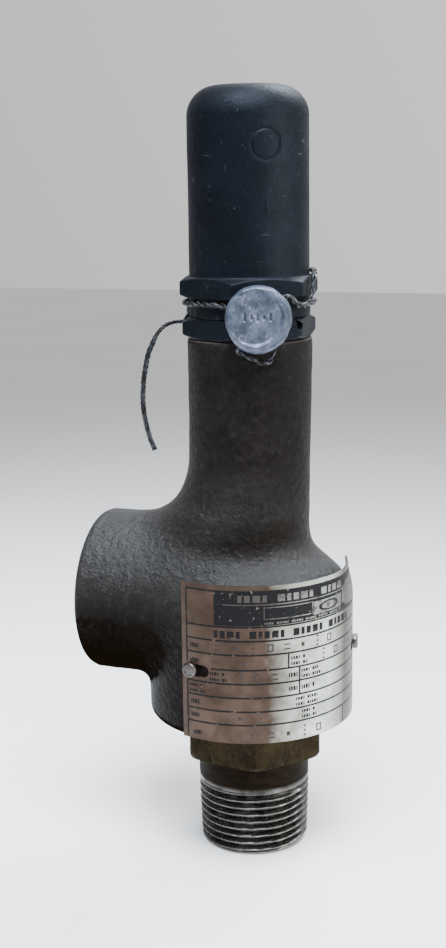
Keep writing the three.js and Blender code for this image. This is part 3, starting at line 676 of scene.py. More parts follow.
# stops after the turn round the collar: direction in degrees, distance from the axis, height
WIRE_STOPS = [
    (-132, GROOVE_RADIUS, 132.3), (-118, GROOVE_RADIUS, 132.35), (-105, GROOVE_RADIUS, 132.35),
    (-94, 15.1, 132.2), (-86, 16.8, 131.4), (-79.5, 18.7, 129.3), (-78.5, 19, 126.5),
    (-80.5, 18.3, 124.2), (-80, 17.6, 122.6), (-72, 17.5, 121.3), (-64.5, 17.5, 120.2),
    (-58.5, 17.5, 120.2), (-55.6, 17.8, 122.3), (-55, 18.5, 125.5), (-54.5, 19, 130),
    (-51.6, 19, 133.6), (-42.5, 18, 134.3), (-35, 17.1, 132.6), (-26, 16.6, 132),
    (-13, 15.9, 132.6), (-6, 15.5, 134.4), (-2, 15.4, 136.6), (4, 15.2, 138.4), (14, 14.8, 139),
    (34, 14.8, 139), (60, 14.8, 139), (95, 14.8, 139), (130, 15.9, 138.8), (150, 17.4, 136.6),
    (166, 16.3, 133.3), (174, 15.5, 130), (180.6, 15.5, 127.7),
]

# the free end: out to the left, then hanging beside the tube, cut off bare
TAIL_ROUTE = [
    (-16.2, -1.0, 127.2), (-17.6, -2.6, 127.2), (-19.0, -4.1, 126.7), (-20.2, -5.1, 125.6),
    (-21.1, -5.9, 124.1), (-21.8, -6.4, 122.4), (-22.7, -6.9, 120.0), (-23.3, -7.2, 117.0),
    (-23.8, -7.5, 113.6), (-24.0, -7.6, 110.2), (-23.9, -7.6, 106.8), (-23.4, -7.4, 103.4),
    (-22.6, -7.2, 100.2), (-21.6, -6.9, 97.4),
]
HELD_END = (-16.06, -0.84, 127.24)


def seal_wire_route():
    """The held wire: tucked under the cap hexagon, once round the collar, into the lead, a small
    loop below it, through the lead again, up over the cap hexagon and round the back."""
    route = [around(turn, GROOVE_RADIUS, GROOVE_Z) for turn in range(-28, 213, 16)]
    return route + [around(*stop) for stop in WIRE_STOPS] + [np.array(HELD_END)]


def between(first, second, start, end, t):
    return ((end - t) * first + (t - start) * second) / (end - start)


def smooth_route(points, step):
    """Evenly spaced points on a centripetal curve through the given ones."""
    points = np.array(points, float)
    padded = np.vstack([2 * points[0] - points[1], points, 2 * points[-1] - points[-2]])
    fine = []
    for p0, p1, p2, p3 in zip(padded, padded[1:], padded[2:], padded[3:]):
        t1 = np.linalg.norm(p1 - p0) ** 0.5
        t2 = t1 + np.linalg.norm(p2 - p1) ** 0.5
        t3 = t2 + np.linalg.norm(p3 - p2) ** 0.5
        t = np.linspace(t1, t2, 24, endpoint=False)[:, None]
        a1, a2, a3 = between(p0, p1, 0, t1, t), between(p1, p2, t1, t2, t), between(p2, p3, t2, t3, t)
        b1, b2 = between(a1, a2, 0, t2, t), between(a2, a3, t1, t3, t)
        fine.append(between(b1, b2, t1, t2, t))
    fine = np.vstack([*fine, points[-1:]])
    reach = np.concatenate([[0], np.cumsum(np.linalg.norm(np.diff(fine, axis=0), axis=1))])
    even = np.linspace(0, reach[-1], max(2, round(reach[-1] / step)) + 1)
    return np.stack([np.interp(even, reach, fine[:, k]) for k in range(3)], 1), reach[-1]


def frames_along(path):
    """Two directions across a path at each point, turned as little as possible."""
    ahead = np.gradient(path, axis=0)
    ahead /= np.linalg.norm(ahead, axis=1)[:, None]
    across = np.cross(ahead[0], (0.3, 0.2, 1.0))
    sides = []
    for direction in ahead:
        across = across - direction * (across @ direction)
        across /= np.linalg.norm(across)
        sides.append(across)
    sides = np.array(sides)
    return sides, np.cross(ahead, sides)


def tube(path, radius, sides=10):
    """Points and faces of a closed round tube with slightly domed ends."""
    first, second = frames_along(path)
    angle = np.linspace(0, TURN, sides, endpoint=False)
    ring = first[:, None] * np.cos(angle)[None, :, None] + second[:, None] * np.sin(angle)[None, :, None]
    radii = radius * np.ones(len(path))
    radii[[0, -1]] *= 0.75
    points = (path[:, None] + ring * radii[:, None, None]).reshape(-1, 3)
    faces = grid_faces(len(path), sides, False).tolist()
    faces.append(list(range(sides))[::-1])
    last = (len(path) - 1) * sides
    faces.append([last + k for k in range(sides)])
    return points, faces


def twisted_wire(route, name, strands, loose, thin_start):
    """Strands twisted round each other along a route. thin_start is the thickness at its start, as
    a share of the full one. Returns the piece, path and length."""
    path, length = smooth_route(route, 0.22)
    first, second = frames_along(path)
    along = np.linspace(0, length, len(path))
    slack = np.stack([along / 4.5, 0 * along, 0 * along], 1)
    thickness = WIRE_RADIUS * (thin_start + (1 - thin_start) * smooth_step(7, 10, along))
    strand_share = 1 / (1 + 1 / math.sin(math.pi / strands))
    gap = thickness * (1 - strand_share + loose * (1 + lattice_noise(slack, 5)))
    turns = along / TWIST_PITCH + 0.12 * lattice_noise(slack + 40, 6)
    points, faces = [], []
    for strand in range(strands):
        angle = TURN * (turns + strand / strands)
        offset = first * np.cos(angle)[:, None] + second * np.sin(angle)[:, None]
        centre = path + offset * gap[:, None]
        strand_points, strand_faces = tube(centre, thickness * strand_share)
        faces += [[len(points) + k for k in face] for face in strand_faces]
        points += strand_points.tolist()
    return new_mesh_object(name, points, faces, 60), path, length


def make_wires():
    held, _, _ = twisted_wire(seal_wire_route(), "seal_wire_twisted", 2, 0.05, 1.0)
    place_piece(held, "cap_group", WIRE, "wire", "seal_wire")
    tail, path, length = twisted_wire(TAIL_ROUTE, "seal_wire_free_end", 4, 0.0, 0.75)
    place_piece(tail, "cap_group", WIRE, "wire", "seal_wire_tail")


make_wires()


# ---------------- cast body
def body_radius(z):
    """Outer radius of the round part of the casting: bowl, shoulder and tapered tube."""
    outline = [
        (33.0, BOWL_RADIUS), (60.0, BOWL_RADIUS), (64.0, BOWL_RADIUS - 0.35), (67.0, BOWL_RADIUS - 1.6),
        (69.6, BOWL_RADIUS - 4.2), (72.0, BOWL_RADIUS - 7.0), (74.2, BOWL_RADIUS - 8.9),
        (76.6, TUBE_FOOT_RADIUS + 0.35), (80.0, TUBE_FOOT_RADIUS + 0.05), (85.0, TUBE_FOOT_RADIUS),
        (BODY_TOP, TUBE_RADIUS),
    ]
    heights, radii = zip(*outline)
    return np.interp(z, heights, radii)


def smoothed_body_radius(z):
    """The same outline with its corners rounded off."""
    offsets = np.linspace(-1.1, 1.1, 7)
    return np.mean([body_radius(z + offset) for offset in offsets], axis=0)


def casting_distance(points):
    """Signed distance, roughly, to the outside of the casting, with soft junctions."""
    x, y, z = points.T
    lean = LEAN * np.clip((LEAN_NONE_ABOVE - z) / (LEAN_NONE_ABOVE - LEAN_FULL_BELOW), 0, 1)
    radius = np.hypot(x + lean, y)
    slope = (smoothed_body_radius(z + 0.4) - smoothed_body_radius(z - 0.4)) / 0.8
    column = (radius - smoothed_body_radius(z)) / np.sqrt(1 + slope**2)
    across = np.hypot(y, z - OUTLET_Z) - OUTLET_RADIUS + OUTLET_EDGE
    along = -x - OUTLET_REACH + OUTLET_EDGE
    corner = np.hypot(np.maximum(across, 0), np.maximum(along, 0))
    boss = corner + np.minimum(np.maximum(across, along), 0) - OUTLET_EDGE
    boss = -smooth_min(-boss, -x - 2, 12)
    reach = 5.0 + 13.0 * smooth_step(66, 84, z) - 1.5 * smooth_step(50, 40, z)
    solid = smooth_min(column, boss, reach)
    rounded = -smooth_min(-solid, z - BODY_BOTTOM, 2 * BOWL_LOWER_EDGE)
    return np.maximum(rounded, z - BODY_TOP)


def surface_of(distance, low, high, cell):
    """Quads over the zero surface of a distance function, by joining cell centres."""
    axes = [np.arange(low[k], high[k] + cell, cell) for k in range(3)]
    grid = np.stack(np.meshgrid(*axes, indexing="ij"), -1)
    inside = (distance(grid.reshape(-1, 3)) < 0).reshape(grid.shape[:3])
    filled = np.lib.stride_tricks.sliding_window_view(inside, (2, 2, 2)).sum(axis=(3, 4, 5))
    crossed = (filled > 0) & (filled < 8)
    number = np.full(crossed.shape, -1)
    number[crossed] = np.arange(crossed.sum())
    points = np.argwhere(crossed) * cell + low + cell / 2
    faces = []
    for axis in range(3):
        ahead = np.moveaxis(inside, axis, 0)
        index = np.moveaxis(number, axis, 0)
        start, end = ahead[:-1, 1:-1, 1:-1], ahead[1:, 1:-1, 1:-1]
        corners = (index[:, :-1, :-1], index[:, 1:, :-1], index[:, 1:, 1:], index[:, :-1, 1:])
        quads = np.stack(corners, -1)
        order = -1 if axis == 1 else 1
        faces += [quads[start & ~end][:, ::order], quads[~start & end][:, ::-order]]
    return points, np.vstack(faces)


def settle_on(distance, points, rounds=4):
    """Moves points onto the zero surface along its gradient."""
    for _ in range(rounds):
        value = distance(points)
        steps = np.eye(3) * 0.05
        slope = np.stack([distance(points + step) - distance(points - step) for step in steps], 1) / 0.1
        slope /= np.maximum(np.linalg.norm(slope, axis=1), 0.2)[:, None] ** 2
        points = points - np.clip(value, -0.6, 0.6)[:, None] * slope
    return points


def body_cavity():
    """Base hole, bowl room, guide ledge, spring chamber and plug thread, as one turned cutter."""
    hole, thread = 15.3, 11.8
    outline = [
        (0, BODY_BOTTOM - 1), (hole + 0.8, BODY_BOTTOM - 1), (hole + 0.8, BODY_BOTTOM),
        (hole, BODY_BOTTOM + 0.8), (hole, CAVITY_FLOOR - 1), (19, CAVITY_FLOOR), (19, 58), (18.2, 61),
        (16.2, 63.4), (13.7, 65), (13.7, 69), (10.8, 69), (10.8, 111), (thread, 111),
        (thread, BODY_TOP - 0.7), (thread + 0.7, BODY_TOP), (thread + 0.7, BODY_TOP + 1), (0, BODY_TOP + 1),
    ]
    return turned_object("cavity_cutter", refine(outline, 3), 128)


def outlet_cutter():
    """Threaded outlet bore with a chamfered mouth."""
    depth = 21.1
    bottom = OUTLET_REACH - depth
    mouth = OUTLET_BORE_RADIUS + depth * PIPE_TAPER
    wall = [(OUTLET_BORE_RADIUS, bottom), (OUTLET_BORE_RADIUS, bottom + 3), (mouth, OUTLET_REACH - 1)]
    outline = [(0, bottom)] + refine(wall, 0.2)
    outline += [(mouth + 1.25, OUTLET_REACH + 0.15), (mouth + 1.25, OUTLET_REACH + 1), (0, OUTLET_REACH + 1)]

    def shape(angle, radius, z):
        threaded = smooth_step(bottom + 3, bottom + 5, z) * (radius < mouth + 0.8) * (radius > 1)
        return radius + 1.05 * threaded * thread_form(-angle, z, OUTLET_PITCH)

    points, faces = turned_mesh(outline, 160, shape)
    return new_mesh_object("outlet_cutter", laid(points, 180, OUTLET_Z), faces)


def make_body():
    """Casting with a wavy skin, flat machined faces, its inside and its outlet."""
    cell = 0.62
    points, faces = surface_of(casting_distance, BODY_LOW - 1.3, BODY_HIGH + 1.3, cell)
    points = settle_on(casting_distance, points)
    obj = new_mesh_object("cast_body", points, faces.tolist(), 50)
    x, _, z = points.T
    from_machined = np.abs([z - BODY_TOP, z - BODY_BOTTOM, x - BODY_LOW[0]]).min(axis=0)
    waves = layered_noise(points, 9.0, 11, 2) * 0.09 + layered_noise(points, 2.2, 23, 2) * 0.035
    waves *= smooth_step(0.1, 1.2, from_machined)
    normals = np.zeros(len(points) * 3)
    obj.data.vertices.foreach_get("normal", normals)
    move_points(obj, lambda p: p + normals.reshape(-1, 3) * waves[:, None])
    cut_away(obj, 42, body_cavity(), outlet_cutter())
    place_piece(obj, "root", CASTING, "casting", "body")


# ---------------- inlet
def make_nozzle():
    """Steel nozzle: tapered right-hand pipe thread that runs out into a smooth band."""
    thread_top = 17.4
    end_radius = INLET_CREST_RADIUS - INLET_THREAD_DEPTH - 0.35
    outline = [(end_radius, 0), (INLET_CREST_RADIUS + 0.3, 1.4), (NECK_RADIUS + 0.4, thread_top)]
    outline = refine(outline, 0.09)
    outline += refine([(NECK_RADIUS, thread_top + 0.1), (NECK_RADIUS, BASE_BOTTOM - 0.3),
                       (NECK_RADIUS - 0.3, BASE_BOTTOM)], 0.5)
    outline += refine([(11, BASE_BOTTOM), (11, NOZZLE_TOP - 3), (7.4, NOZZLE_TOP), (6.2, NOZZLE_TOP),
                       (6.2, 30), (8.6, 18), (8.6, 0.6), (9.1, 0)], 2.0)
    outline.append(outline[0])

    def shape(angle, radius, z):
        blank = np.minimum(radius, np.minimum(INLET_CREST_RADIUS + z * PIPE_TAPER, NECK_RADIUS))
        root = blank - INLET_THREAD_DEPTH * (1 - smooth_step(13.8, 17.2, z))
        threaded = root + (blank - root) * thread_form(angle, z, INLET_PITCH)
        outer = (z <= thread_top + 0.05) & (radius > end_radius - 0.01)
        return np.where(outer, np.minimum(blank, np.maximum(threaded, end_radius - 0.2)), radius)

    nozzle = turned_object("nozzle_with_thread", outline, 168, shape, 48)
    place_piece(nozzle, "root", NOZZLE, "stainless", "inlet_nozzle")


def make_base():
    """Bronze hexagon with worn corners, and the spigot that enters the bowl."""
    bore, spigot = 11.1, 15.2
    corner = BASE_HEX_FLATS / 2 / math.cos(TURN / 12) + 0.3
    outline = refine([(bore, BASE_BOTTOM), (corner - 1.1, BASE_BOTTOM), (corner, BASE_BOTTOM + 1.2),
                      (corner, BASE_HEX_TOP)], 0.3)
    outline += refine([(spigot, BASE_HEX_TOP), (spigot, BASE_TOP), (bore, BASE_TOP),
                       (bore, BASE_BOTTOM)], 1.0)
    shape = hex_shape(BASE_HEX_FLATS, BASE_HEX_TURN, BASE_BOTTOM, BASE_HEX_TOP, 0.9)
    base = turned_object("base_hexagon", outline, 300, shape, 32)

    def pit(p):
        pits = 0.25 * smooth_step(0.75, 1.25, layered_noise(p, 2.1, 61, 2))
        rough = 0.05 * layered_noise(p, 1.6, 41, 3)
        return pushed_out(p, (rough - pits) * smooth_step(spigot + 0.1, spigot + 0.6, from_axis(p)))

    move_points(base, pit)
    place_piece(base, "root", BRONZE, "bronze", "inlet_base")


# ---------------- top closure
def make_plug():
    """Blackened hexagon plug with its collar, wire hole and the threaded spigot for the cap."""
    bore, spigot = SCREW_RADIUS + 0.1, SPIGOT_RADIUS
    thread_bottom = COLLAR_TOP + 1
    outline = refine([(bore, PLUG_BOTTOM), (11.6, PLUG_BOTTOM), (11.6, PLUG_HEX_BOTTOM)], 0.8)
    outline += refine(hex_chamfer(PLUG_HEX_FLATS, PLUG_HEX_BOTTOM, PLUG_HEX_TOP, 0.3, 0.5), 0.25)
    outline += refine([(COLLAR_RADIUS - 0.15, PLUG_HEX_TOP + 0.02), (COLLAR_RADIUS, PLUG_HEX_TOP + 0.2),
                       (COLLAR_RADIUS, COLLAR_TOP - 0.3), (COLLAR_RADIUS - 0.3, COLLAR_TOP)], 0.4)
    outline += refine([(spigot - 0.9, COLLAR_TOP), (spigot - 0.9, thread_bottom - 0.2)], 0.4)
    outline += refine([(spigot, thread_bottom + 0.2), (spigot, PLUG_TOP - 0.9),
                       (spigot - 0.9, PLUG_TOP)], 0.12)
    outline += refine([(bore + 0.5, PLUG_TOP), (bore, PLUG_TOP - 0.5), (bore, PLUG_BOTTOM)], 0.8)
    hexed = hex_shape(PLUG_HEX_FLATS, TOP_HEX_TURN, PLUG_HEX_BOTTOM, PLUG_HEX_TOP, 0.6)

    def shape(angle, radius, z):
        threaded = (z > thread_bottom) & (radius > spigot - 1.0)
        cut = smooth_step(thread_bottom - 0.1, thread_bottom + 0.8, z)
        groove = 0.75 * (1 - thread_form(angle, z, CAP_THREAD_PITCH)) * cut
        return np.where(threaded, np.minimum(radius, spigot - groove), hexed(angle, radius, z))

    plug = turned_object("top_plug_hexagon", outline, 300, shape, 32)
    drill, faces = turned_mesh([(0, 13.4), (0.8, 13.4), (1.0, 13.7), (1.0, 18), (0, 18)], 24)
    cut_away(plug, 32, new_mesh_object("drill_cutter", laid(drill, TOP_HEX_TURN + 60, WIRE_HOLE_Z), faces))
    place_piece(plug, "root", BLACKENED, "blackened", "top_plug")


def make_cap():
    """Closed cap: hexagon foot, plain barrel, rounded shoulder, round gate mark and a hollow inside."""
    thread, barrel_top = SPIGOT_RADIUS + 0.1, CAP_TOP - CAP_SHOULDER
    hexagon = hex_chamfer(CAP_HEX_FLATS, CAP_BOTTOM, CAP_HEX_TOP, 0.15, 0.42)
    outline = [(0, CAP_BOTTOM)] + refine([(thread, CAP_BOTTOM)] + hexagon, 0.3)
    outline += arc(CAP_RADIUS + 0.7, CAP_HEX_TOP + 0.5, 0.7, 0.7, 250, 180, 4)
    outline += refine([(CAP_RADIUS, CAP_HEX_TOP + 1), (CAP_RADIUS, 160)], 0.8)
    outline += refine([(CAP_RADIUS, 160.2), (CAP_RADIUS, barrel_top)], 0.22)
    outline += arc(CAP_RADIUS - CAP_SHOULDER, barrel_top, CAP_SHOULDER, CAP_SHOULDER, 3, 87, 22)
    outline += refine([(CAP_RADIUS - CAP_SHOULDER, CAP_TOP), (0.6, CAP_TOP)], 0.9) + [(0, CAP_TOP)]
    hexed = hex_shape(CAP_HEX_FLATS, TOP_HEX_TURN, CAP_BOTTOM, CAP_HEX_TOP, 0.6)
    cap = turned_object("cap_shell", outline, 360, hexed, 36)
    move_points(cap, cap_surface)
    cut_away(cap, 36, cap_hollow(thread))
    place_piece(cap, "cap_group", BLACKENED, "blackened", "cap")


def cap_surface(p):
    """Uneven skin, with a sunk ring for the gate mark and a short raised line below it."""
    mark, line = around(-55.6, CAP_RADIUS, 167.1), around(-55.1, CAP_RADIUS, 153.9)
    from_mark = np.linalg.norm(p - mark, axis=1)
    ring = np.exp(-(((from_mark - 3.35) / 0.24) ** 2))
    push = layered_noise(p, 12.0, 71, 2) * 0.05 + layered_noise(p, 2.5, 73, 2) * 0.018
    push += 0.06 * smooth_step(3.2, 2.8, from_mark) - 0.22 * ring
    beside = from_axis(p - line)
    push += 0.14 * smooth_step(0.5, 0.2, beside) * smooth_step(1.6, 1.2, np.abs(p[:, 2] - line[2]))
    return pushed_out(p, push * smooth_step(13.0, 13.5, from_axis(p)))


def cap_hollow(thread):
    """Cutter for the cap's thread and the room above it."""
    thread_top = 142
    outline = [(0, CAP_BOTTOM - 1), (thread + 0.8, CAP_BOTTOM - 1), (thread + 0.8, CAP_BOTTOM)]
    outline += refine([(thread, CAP_BOTTOM + 0.8), (thread, thread_top - 0.2)], 0.2)
    outline += [(thread, thread_top), (11, thread_top + 0.5), (11, CAP_ROOM_TOP - 3), (8, CAP_ROOM_TOP)]

    def shape(angle, radius, z):
        threaded = (z > CAP_BOTTOM + 0.7) & (z < thread_top - 0.1) & (radius > SPIGOT_RADIUS)
        return np.where(threaded, radius + 0.6 * thread_form(angle, z, CAP_THREAD_PITCH), radius)

    return turned_object("cap_cutter", outline + [(0, CAP_ROOM_TOP)], 144, shape)


def make_screw():
    """Threaded adjusting screw with a square end."""
    square_from = 147.5
    bore, crest = 3.3, SCREW_RADIUS
    outline = refine([(bore, SCREW_BOTTOM), (crest - 1, SCREW_BOTTOM), (crest, SCREW_BOTTOM + 1)], 0.5)
    outline += refine([(crest, SCREW_BOTTOM + 1.1), (crest, square_from - 0.6)], 0.11)
    outline += refine([(crest - 0.6, square_from), (crest - 0.55, square_from + 0.1)], 0.3)
    outline += refine([(crest - 0.5, square_from + 0.2), (crest - 0.5, SCREW_TOP - 0.6),
                       (4.2, SCREW_TOP)], 0.3)
    outline += refine([(bore + 0.3, SCREW_TOP), (bore, SCREW_TOP - 0.3), (bore, SCREW_BOTTOM)], 1.0)

    def shape(angle, radius, z):
        threaded = np.minimum(radius, crest - 0.62 * (1 - thread_form(angle, z, SCREW_PITCH)))
        square = smooth_min(radius, polygon_radius(angle, 4, 8.0, 20), 0.25)
        radius = np.where((z > square_from) & (radius > bore + 0.4), square, radius)
        return np.where((z > SCREW_BOTTOM + 1) & (z < square_from - 0.5) & (radius > 5), threaded, radius)

    screw = turned_object("adjusting_screw_threaded", outline, 120, shape)
    place_piece(screw, "screw", INNER_STEEL, "inner_steel", "adjusting_screw")


def make_nut():
    """Chamfered hexagon nut that locks the screw."""
    bore = SCREW_RADIUS + 0.1
    outline = [(bore + 0.5, NUT_BOTTOM)] + hex_chamfer(NUT_FLATS, NUT_BOTTOM, NUT_TOP, 0.4, 0.5)
    outline += [(bore + 0.5, NUT_TOP), (bore, NUT_TOP - 0.5), (bore, NUT_BOTTOM + 0.5), outline[0]]
    shape = hex_shape(NUT_FLATS, 10, NUT_BOTTOM, NUT_TOP, 0.4)
    nut = turned_object("lock_nut_hexagon", refine(outline, 0.25), 240, shape, 32)
    place_piece(nut, "nut", INNER_STEEL, "inner_steel", "lock_nut")


# ---------------- pieces inside
def fibre_ring(inner, outer, low, high):
    """Outline of a flat ring whose outer edge bulges a little."""
    bulge = (outer, (low + high) / 2)
    return [(inner, low), (outer - 0.1, low), bulge, (outer - 0.1, high), (inner, high), (inner, low)]


def spring_washer(flange, step):
    """Outline of a washer from the back of its flange towards the spring, with a step inside it."""
    def level(share):
        return flange + (step - flange) * share
    return [
        (3.15, level(0)), (9.7, level(0)), (10, level(0.06)), (10, level(0.54)), (9.7, level(0.6)),
        (6.4, level(0.6)), (6.4, level(0.92)), (6.0, level(1)), (3.15, level(1)), (3.15, level(0)),
    ]


def make_inner_pieces():
    """Smoothly turned versions of the pieces that show through the outlet or under the cap."""
    steel, dark = (INNER_STEEL, "inner_steel"), (SPRING_STEEL, "spring_steel")
    fibre = (GASKET, "gasket")
    holder = [
        (8.15, HOLDER_BOTTOM), (9.1, HOLDER_BOTTOM), (9.4, HOLDER_BOTTOM + 0.3), (9.4, 48.7), (9.1, 49.1),
        (7.5, 51), (7.5, HOLDER_TOP - 0.4), (7.1, HOLDER_TOP), (3.2, HOLDER_TOP), (3.2, 61.7), (0.6, 60.5),
        (0.6, 46.6), (8.15, 46.6), (8.15, 43.55), (8.75, 43.55), (8.75, 42.65), (8.15, 42.65),
        (8.15, HOLDER_BOTTOM),
    ]
    guide = [
        (7.6, GUIDE_BOTTOM), (9.2, GUIDE_BOTTOM), (9.6, GUIDE_BOTTOM + 0.4), (9.6, 65.5), (13.2, 65.5),
        (13.6, 65.9), (13.6, 68.95), (10.7, 68.95), (10.7, GUIDE_TOP - 0.3), (10.4, GUIDE_TOP),
        (7.6, GUIDE_TOP), (7.6, GUIDE_BOTTOM),
    ]
    spindle = [
        (0, SPINDLE_BOTTOM), (1.2, SPINDLE_BOTTOM), (3, SPINDLE_BOTTOM + 1.8), (3, 81), (5, 82.5), (5, 85),
        (3, 85), (3, SPINDLE_TOP - 0.8), (2.2, SPINDLE_TOP), (0, SPINDLE_TOP),
    ]
    disc = [(0, 42.02), (7.0, 42.02), (7.2, 42.2), (7.2, 43.6), (8, 43.6), (8, 46.4), (0, 46.4)]
    ring = [(7.35, 42.75), (8.65, 42.75), (8.65, 43.45), (7.35, 43.45), (7.35, 42.75)]
    for node, body, look, outline in (
        ("disc_holder", "disc_group", steel, holder),
        ("disc_guide", "root", steel, guide),
        ("spindle", "disc_group", steel, spindle),
        ("disc", "disc_group", steel, disc),
        ("disc_retaining_ring", "disc_group", dark, ring),
        ("lower_spring_washer", "disc_group", steel, spring_washer(85, 90)),
        ("upper_spring_washer", "upper_washer", steel, spring_washer(109, 104)[::-1]),
        ("base_gasket", "root", fibre, fibre_ring(15.3, 16.5, BASE_HEX_TOP, BODY_BOTTOM)),
        ("top_plug_gasket", "root", fibre, fibre_ring(11.8, 14.3, BODY_TOP, PLUG_HEX_BOTTOM)),
        ("cap_gasket", "root", fibre, fibre_ring(11.3, 13.7, COLLAR_TOP, CAP_BOTTOM)),
    ):
        piece = turned_object(node + "_turned", refine(outline, 1.5), 112, sharp=32)
        place_piece(piece, body, *look, node)


def make_spring():
    """Round wire spring with an even pitch from end to end."""
    wire, radius, turns = 1.4, 8.2, 5.0
    angle = np.linspace(0, turns * TURN, 280)
    rise = np.linspace(SPRING_BOTTOM + wire, SPRING_TOP - wire, len(angle))
    points, faces = tube(np.stack([radius * np.cos(angle), radius * np.sin(angle), rise], 1), wire, 16)
    spring = new_mesh_object("valve_spring", points, faces, 60)
    place_piece(spring, "disc_group", SPRING_STEEL, "spring_steel", "spring")
    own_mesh(spring)


# ---------------- nameplate
PLATE_WIDTH = math.radians(PLATE_TO - PLATE_FROM) * PLATE_OUTER
PRINT_THICKNESS = 0.03
PRINT_SAG = 0.25
LINE = 0.4
RULES = [61.6, 58.3, 55.0, 51.45, 48.1, 44.8, 41.5, 38.3]
ROW_LOW = dict(zip("ABCDEFGH", RULES[1:] + [34.1]))
FRAME_LEFT, FRAME_RIGHT, FRAME_TOP, FRAME_BOTTOM = 1.45, PLATE_WIDTH - 1.0, 70.1, 34.6
PANEL_LEFT, PANEL_BOTTOM = 8.5, 61.9


class Print:
    """Collects bars that are printed or stamped on the plate: millimetres of sheet across from
    its left edge, and heights. The whole print sits a little lower at the left."""

    def __init__(self, name, material, rise):
        self.name, self.material, self.rise = name, material, rise
        self.points, self.faces = [], []

    def bar(self, left, right, low, high):
        steps = max(1, math.ceil((right - left) / 1.1))
        start = len(self.points)
        inner, outer = PLATE_OUTER - 0.02, PLATE_OUTER + self.rise
        for across in np.linspace(left, right, steps + 1):
            turn = PLATE_FROM + math.degrees(across / PLATE_OUTER)
            sag = PRINT_SAG * (1 - across / PLATE_WIDTH)
            for radius, z in ((inner, low), (outer, low), (outer, high), (inner, high)):
                self.points.append(on_bowl(turn, radius + plate_lift(turn, z), z - sag))
        self.faces += (start + grid_faces(steps + 1, 4, False)[:, [0, 3, 2, 1]]).tolist()
        last = start + 4 * steps
        self.faces += [list(range(start, start + 4)), list(range(last, last + 4))[::-1]]

    def upright(self, across, low, high):
        self.bar(across - LINE / 2, across + LINE / 2, low, high)

    def box(self, left, right, low, high, line):
        """Outline of a box."""
        for z in (low, high - line):
            self.bar(left, right, z, z + line)
        for across in (left, right - line):
            self.bar(across, across + line, low, high)

    def finish(self):
        place_piece(new_mesh_object(self.name, self.points, self.faces, 30), "root", self.material, "plate")


def plate_lift(turn, z):
    """How far the sheet stands off its round: its upper right corner is bent in over the shoulder."""
    return -1.4 * smooth_step(PLATE_TOP - 8, PLATE_TOP, z) * smooth_step(-18, 20, turn)


def make_plate():
    """Thin curved sheet with two slots for its screws."""
    turns = np.linspace(PLATE_FROM, PLATE_TO, 121)
    levels = np.linspace(PLATE_BOTTOM, PLATE_TOP, 41)
    points = []
    for turn in turns:
        points += [on_bowl(turn, PLATE_INNER + plate_lift(turn, z), z) for z in levels]
        points += [on_bowl(turn, PLATE_OUTER + plate_lift(turn, z), z) for z in levels[::-1]]
    ring = 2 * len(levels)
    faces = grid_faces(len(turns), ring, False).tolist()
    last = ring * (len(turns) - 1)
    for k in range(len(levels) - 1):
        faces.append((k + 1, k, ring - 1 - k, ring - 2 - k))
        faces.append((last + k, last + k + 1, last + ring - 2 - k, last + ring - 1 - k))
    plate = new_mesh_object("nameplate_sheet", points, faces, 35)
    cut_away(plate, 35, slot_cutter(PLATE_SCREW_TURNS[0], 1), slot_cutter(PLATE_SCREW_TURNS[1], -1))
    place_piece(plate, "root", PLATE, "plate", "nameplate")


def slot_cutter(turn, direction):
    """Slot through the plate that runs from a screw towards the plate's middle."""
    half = PLATE_SLOT_HEIGHT / 2
    run = math.radians(PLATE_SLOT_TURNS) * PLATE_OUTER
    outline = arc(0, 0, half, half, 90, 270, 12) + arc(run, 0, half, half, -90, 90, 12)
    points = [(direction * x, y, out) for out in (22.0, 27.0) for x, y in outline]
    count = len(outline)
    faces = [list(range(count))[::-1], list(range(count, 2 * count))] + grid_faces(2, count, False).tolist()
    if direction < 0:
        faces = [face[::-1] for face in faces]
    placed = laid(np.array(points), turn, PLATE_SCREW_Z) - (LEAN, 0, 0)
    return new_mesh_object("slot_cutter", placed, faces)


def rule_with_frame(ink):
    """The printed frame and its row rules, broken where the screws and slots are."""
    slotted, slot_room = RULES[3], 6.2
    above_screw, below_screw = PLATE_SCREW_Z + 2.2, PLATE_SCREW_Z - 2.2
    ink.bar(FRAME_LEFT, FRAME_RIGHT, FRAME_TOP - LINE, FRAME_TOP)
    for z in RULES:
        room = slot_room if z == slotted else 0
        ink.bar(FRAME_LEFT + room, FRAME_RIGHT - room, z - LINE / 2, z + LINE / 2)
    for edge in (FRAME_LEFT, FRAME_RIGHT):
        ink.upright(edge, FRAME_BOTTOM, below_screw)
        ink.upright(edge, above_screw, FRAME_TOP)
    ink.upright(25.65, slotted, RULES[2])
    ink.upright(28.4, RULES[5], slotted)
    ink.upright(43.05, 33.9, RULES[7])


def make_header(ink, clear):
    """Black panel with a pale rule, block captions, an outlined box and a solid pale box."""
    ink.bar(PANEL_LEFT, FRAME_RIGHT, PANEL_BOTTOM, FRAME_TOP)
    clear.bar(PANEL_LEFT + 2, FRAME_RIGHT - 0.6, 66.7, 66.92)
    caption(clear, 14.0, 28.0, 67.4, 1.6, 1.9)
    caption(clear, 20.0, 22.0, 62.2, 0.45, 0.6)
    clear.box(19.9, 32.0, 63.3, 66.2, 0.2)
    clear.bar(32.2, 42.0, 62.9, 66.0)


def make_ring_mark():
    """Open ring printed in the solid pale box."""
    ring = Print("nameplate_ring_mark", INK, 3 * PRINT_THICKNESS)
    middle, wide, tall = (37.1, 64.45), 2.9, 1.0
    for angle in np.linspace(0, TURN, 28, endpoint=False):
        across, z = middle[0] + wide * math.cos(angle), middle[1] + tall * math.sin(angle)
        ring.bar(across - 0.42, across + 0.42, z - 0.17, z + 0.17)
    ring.finish()


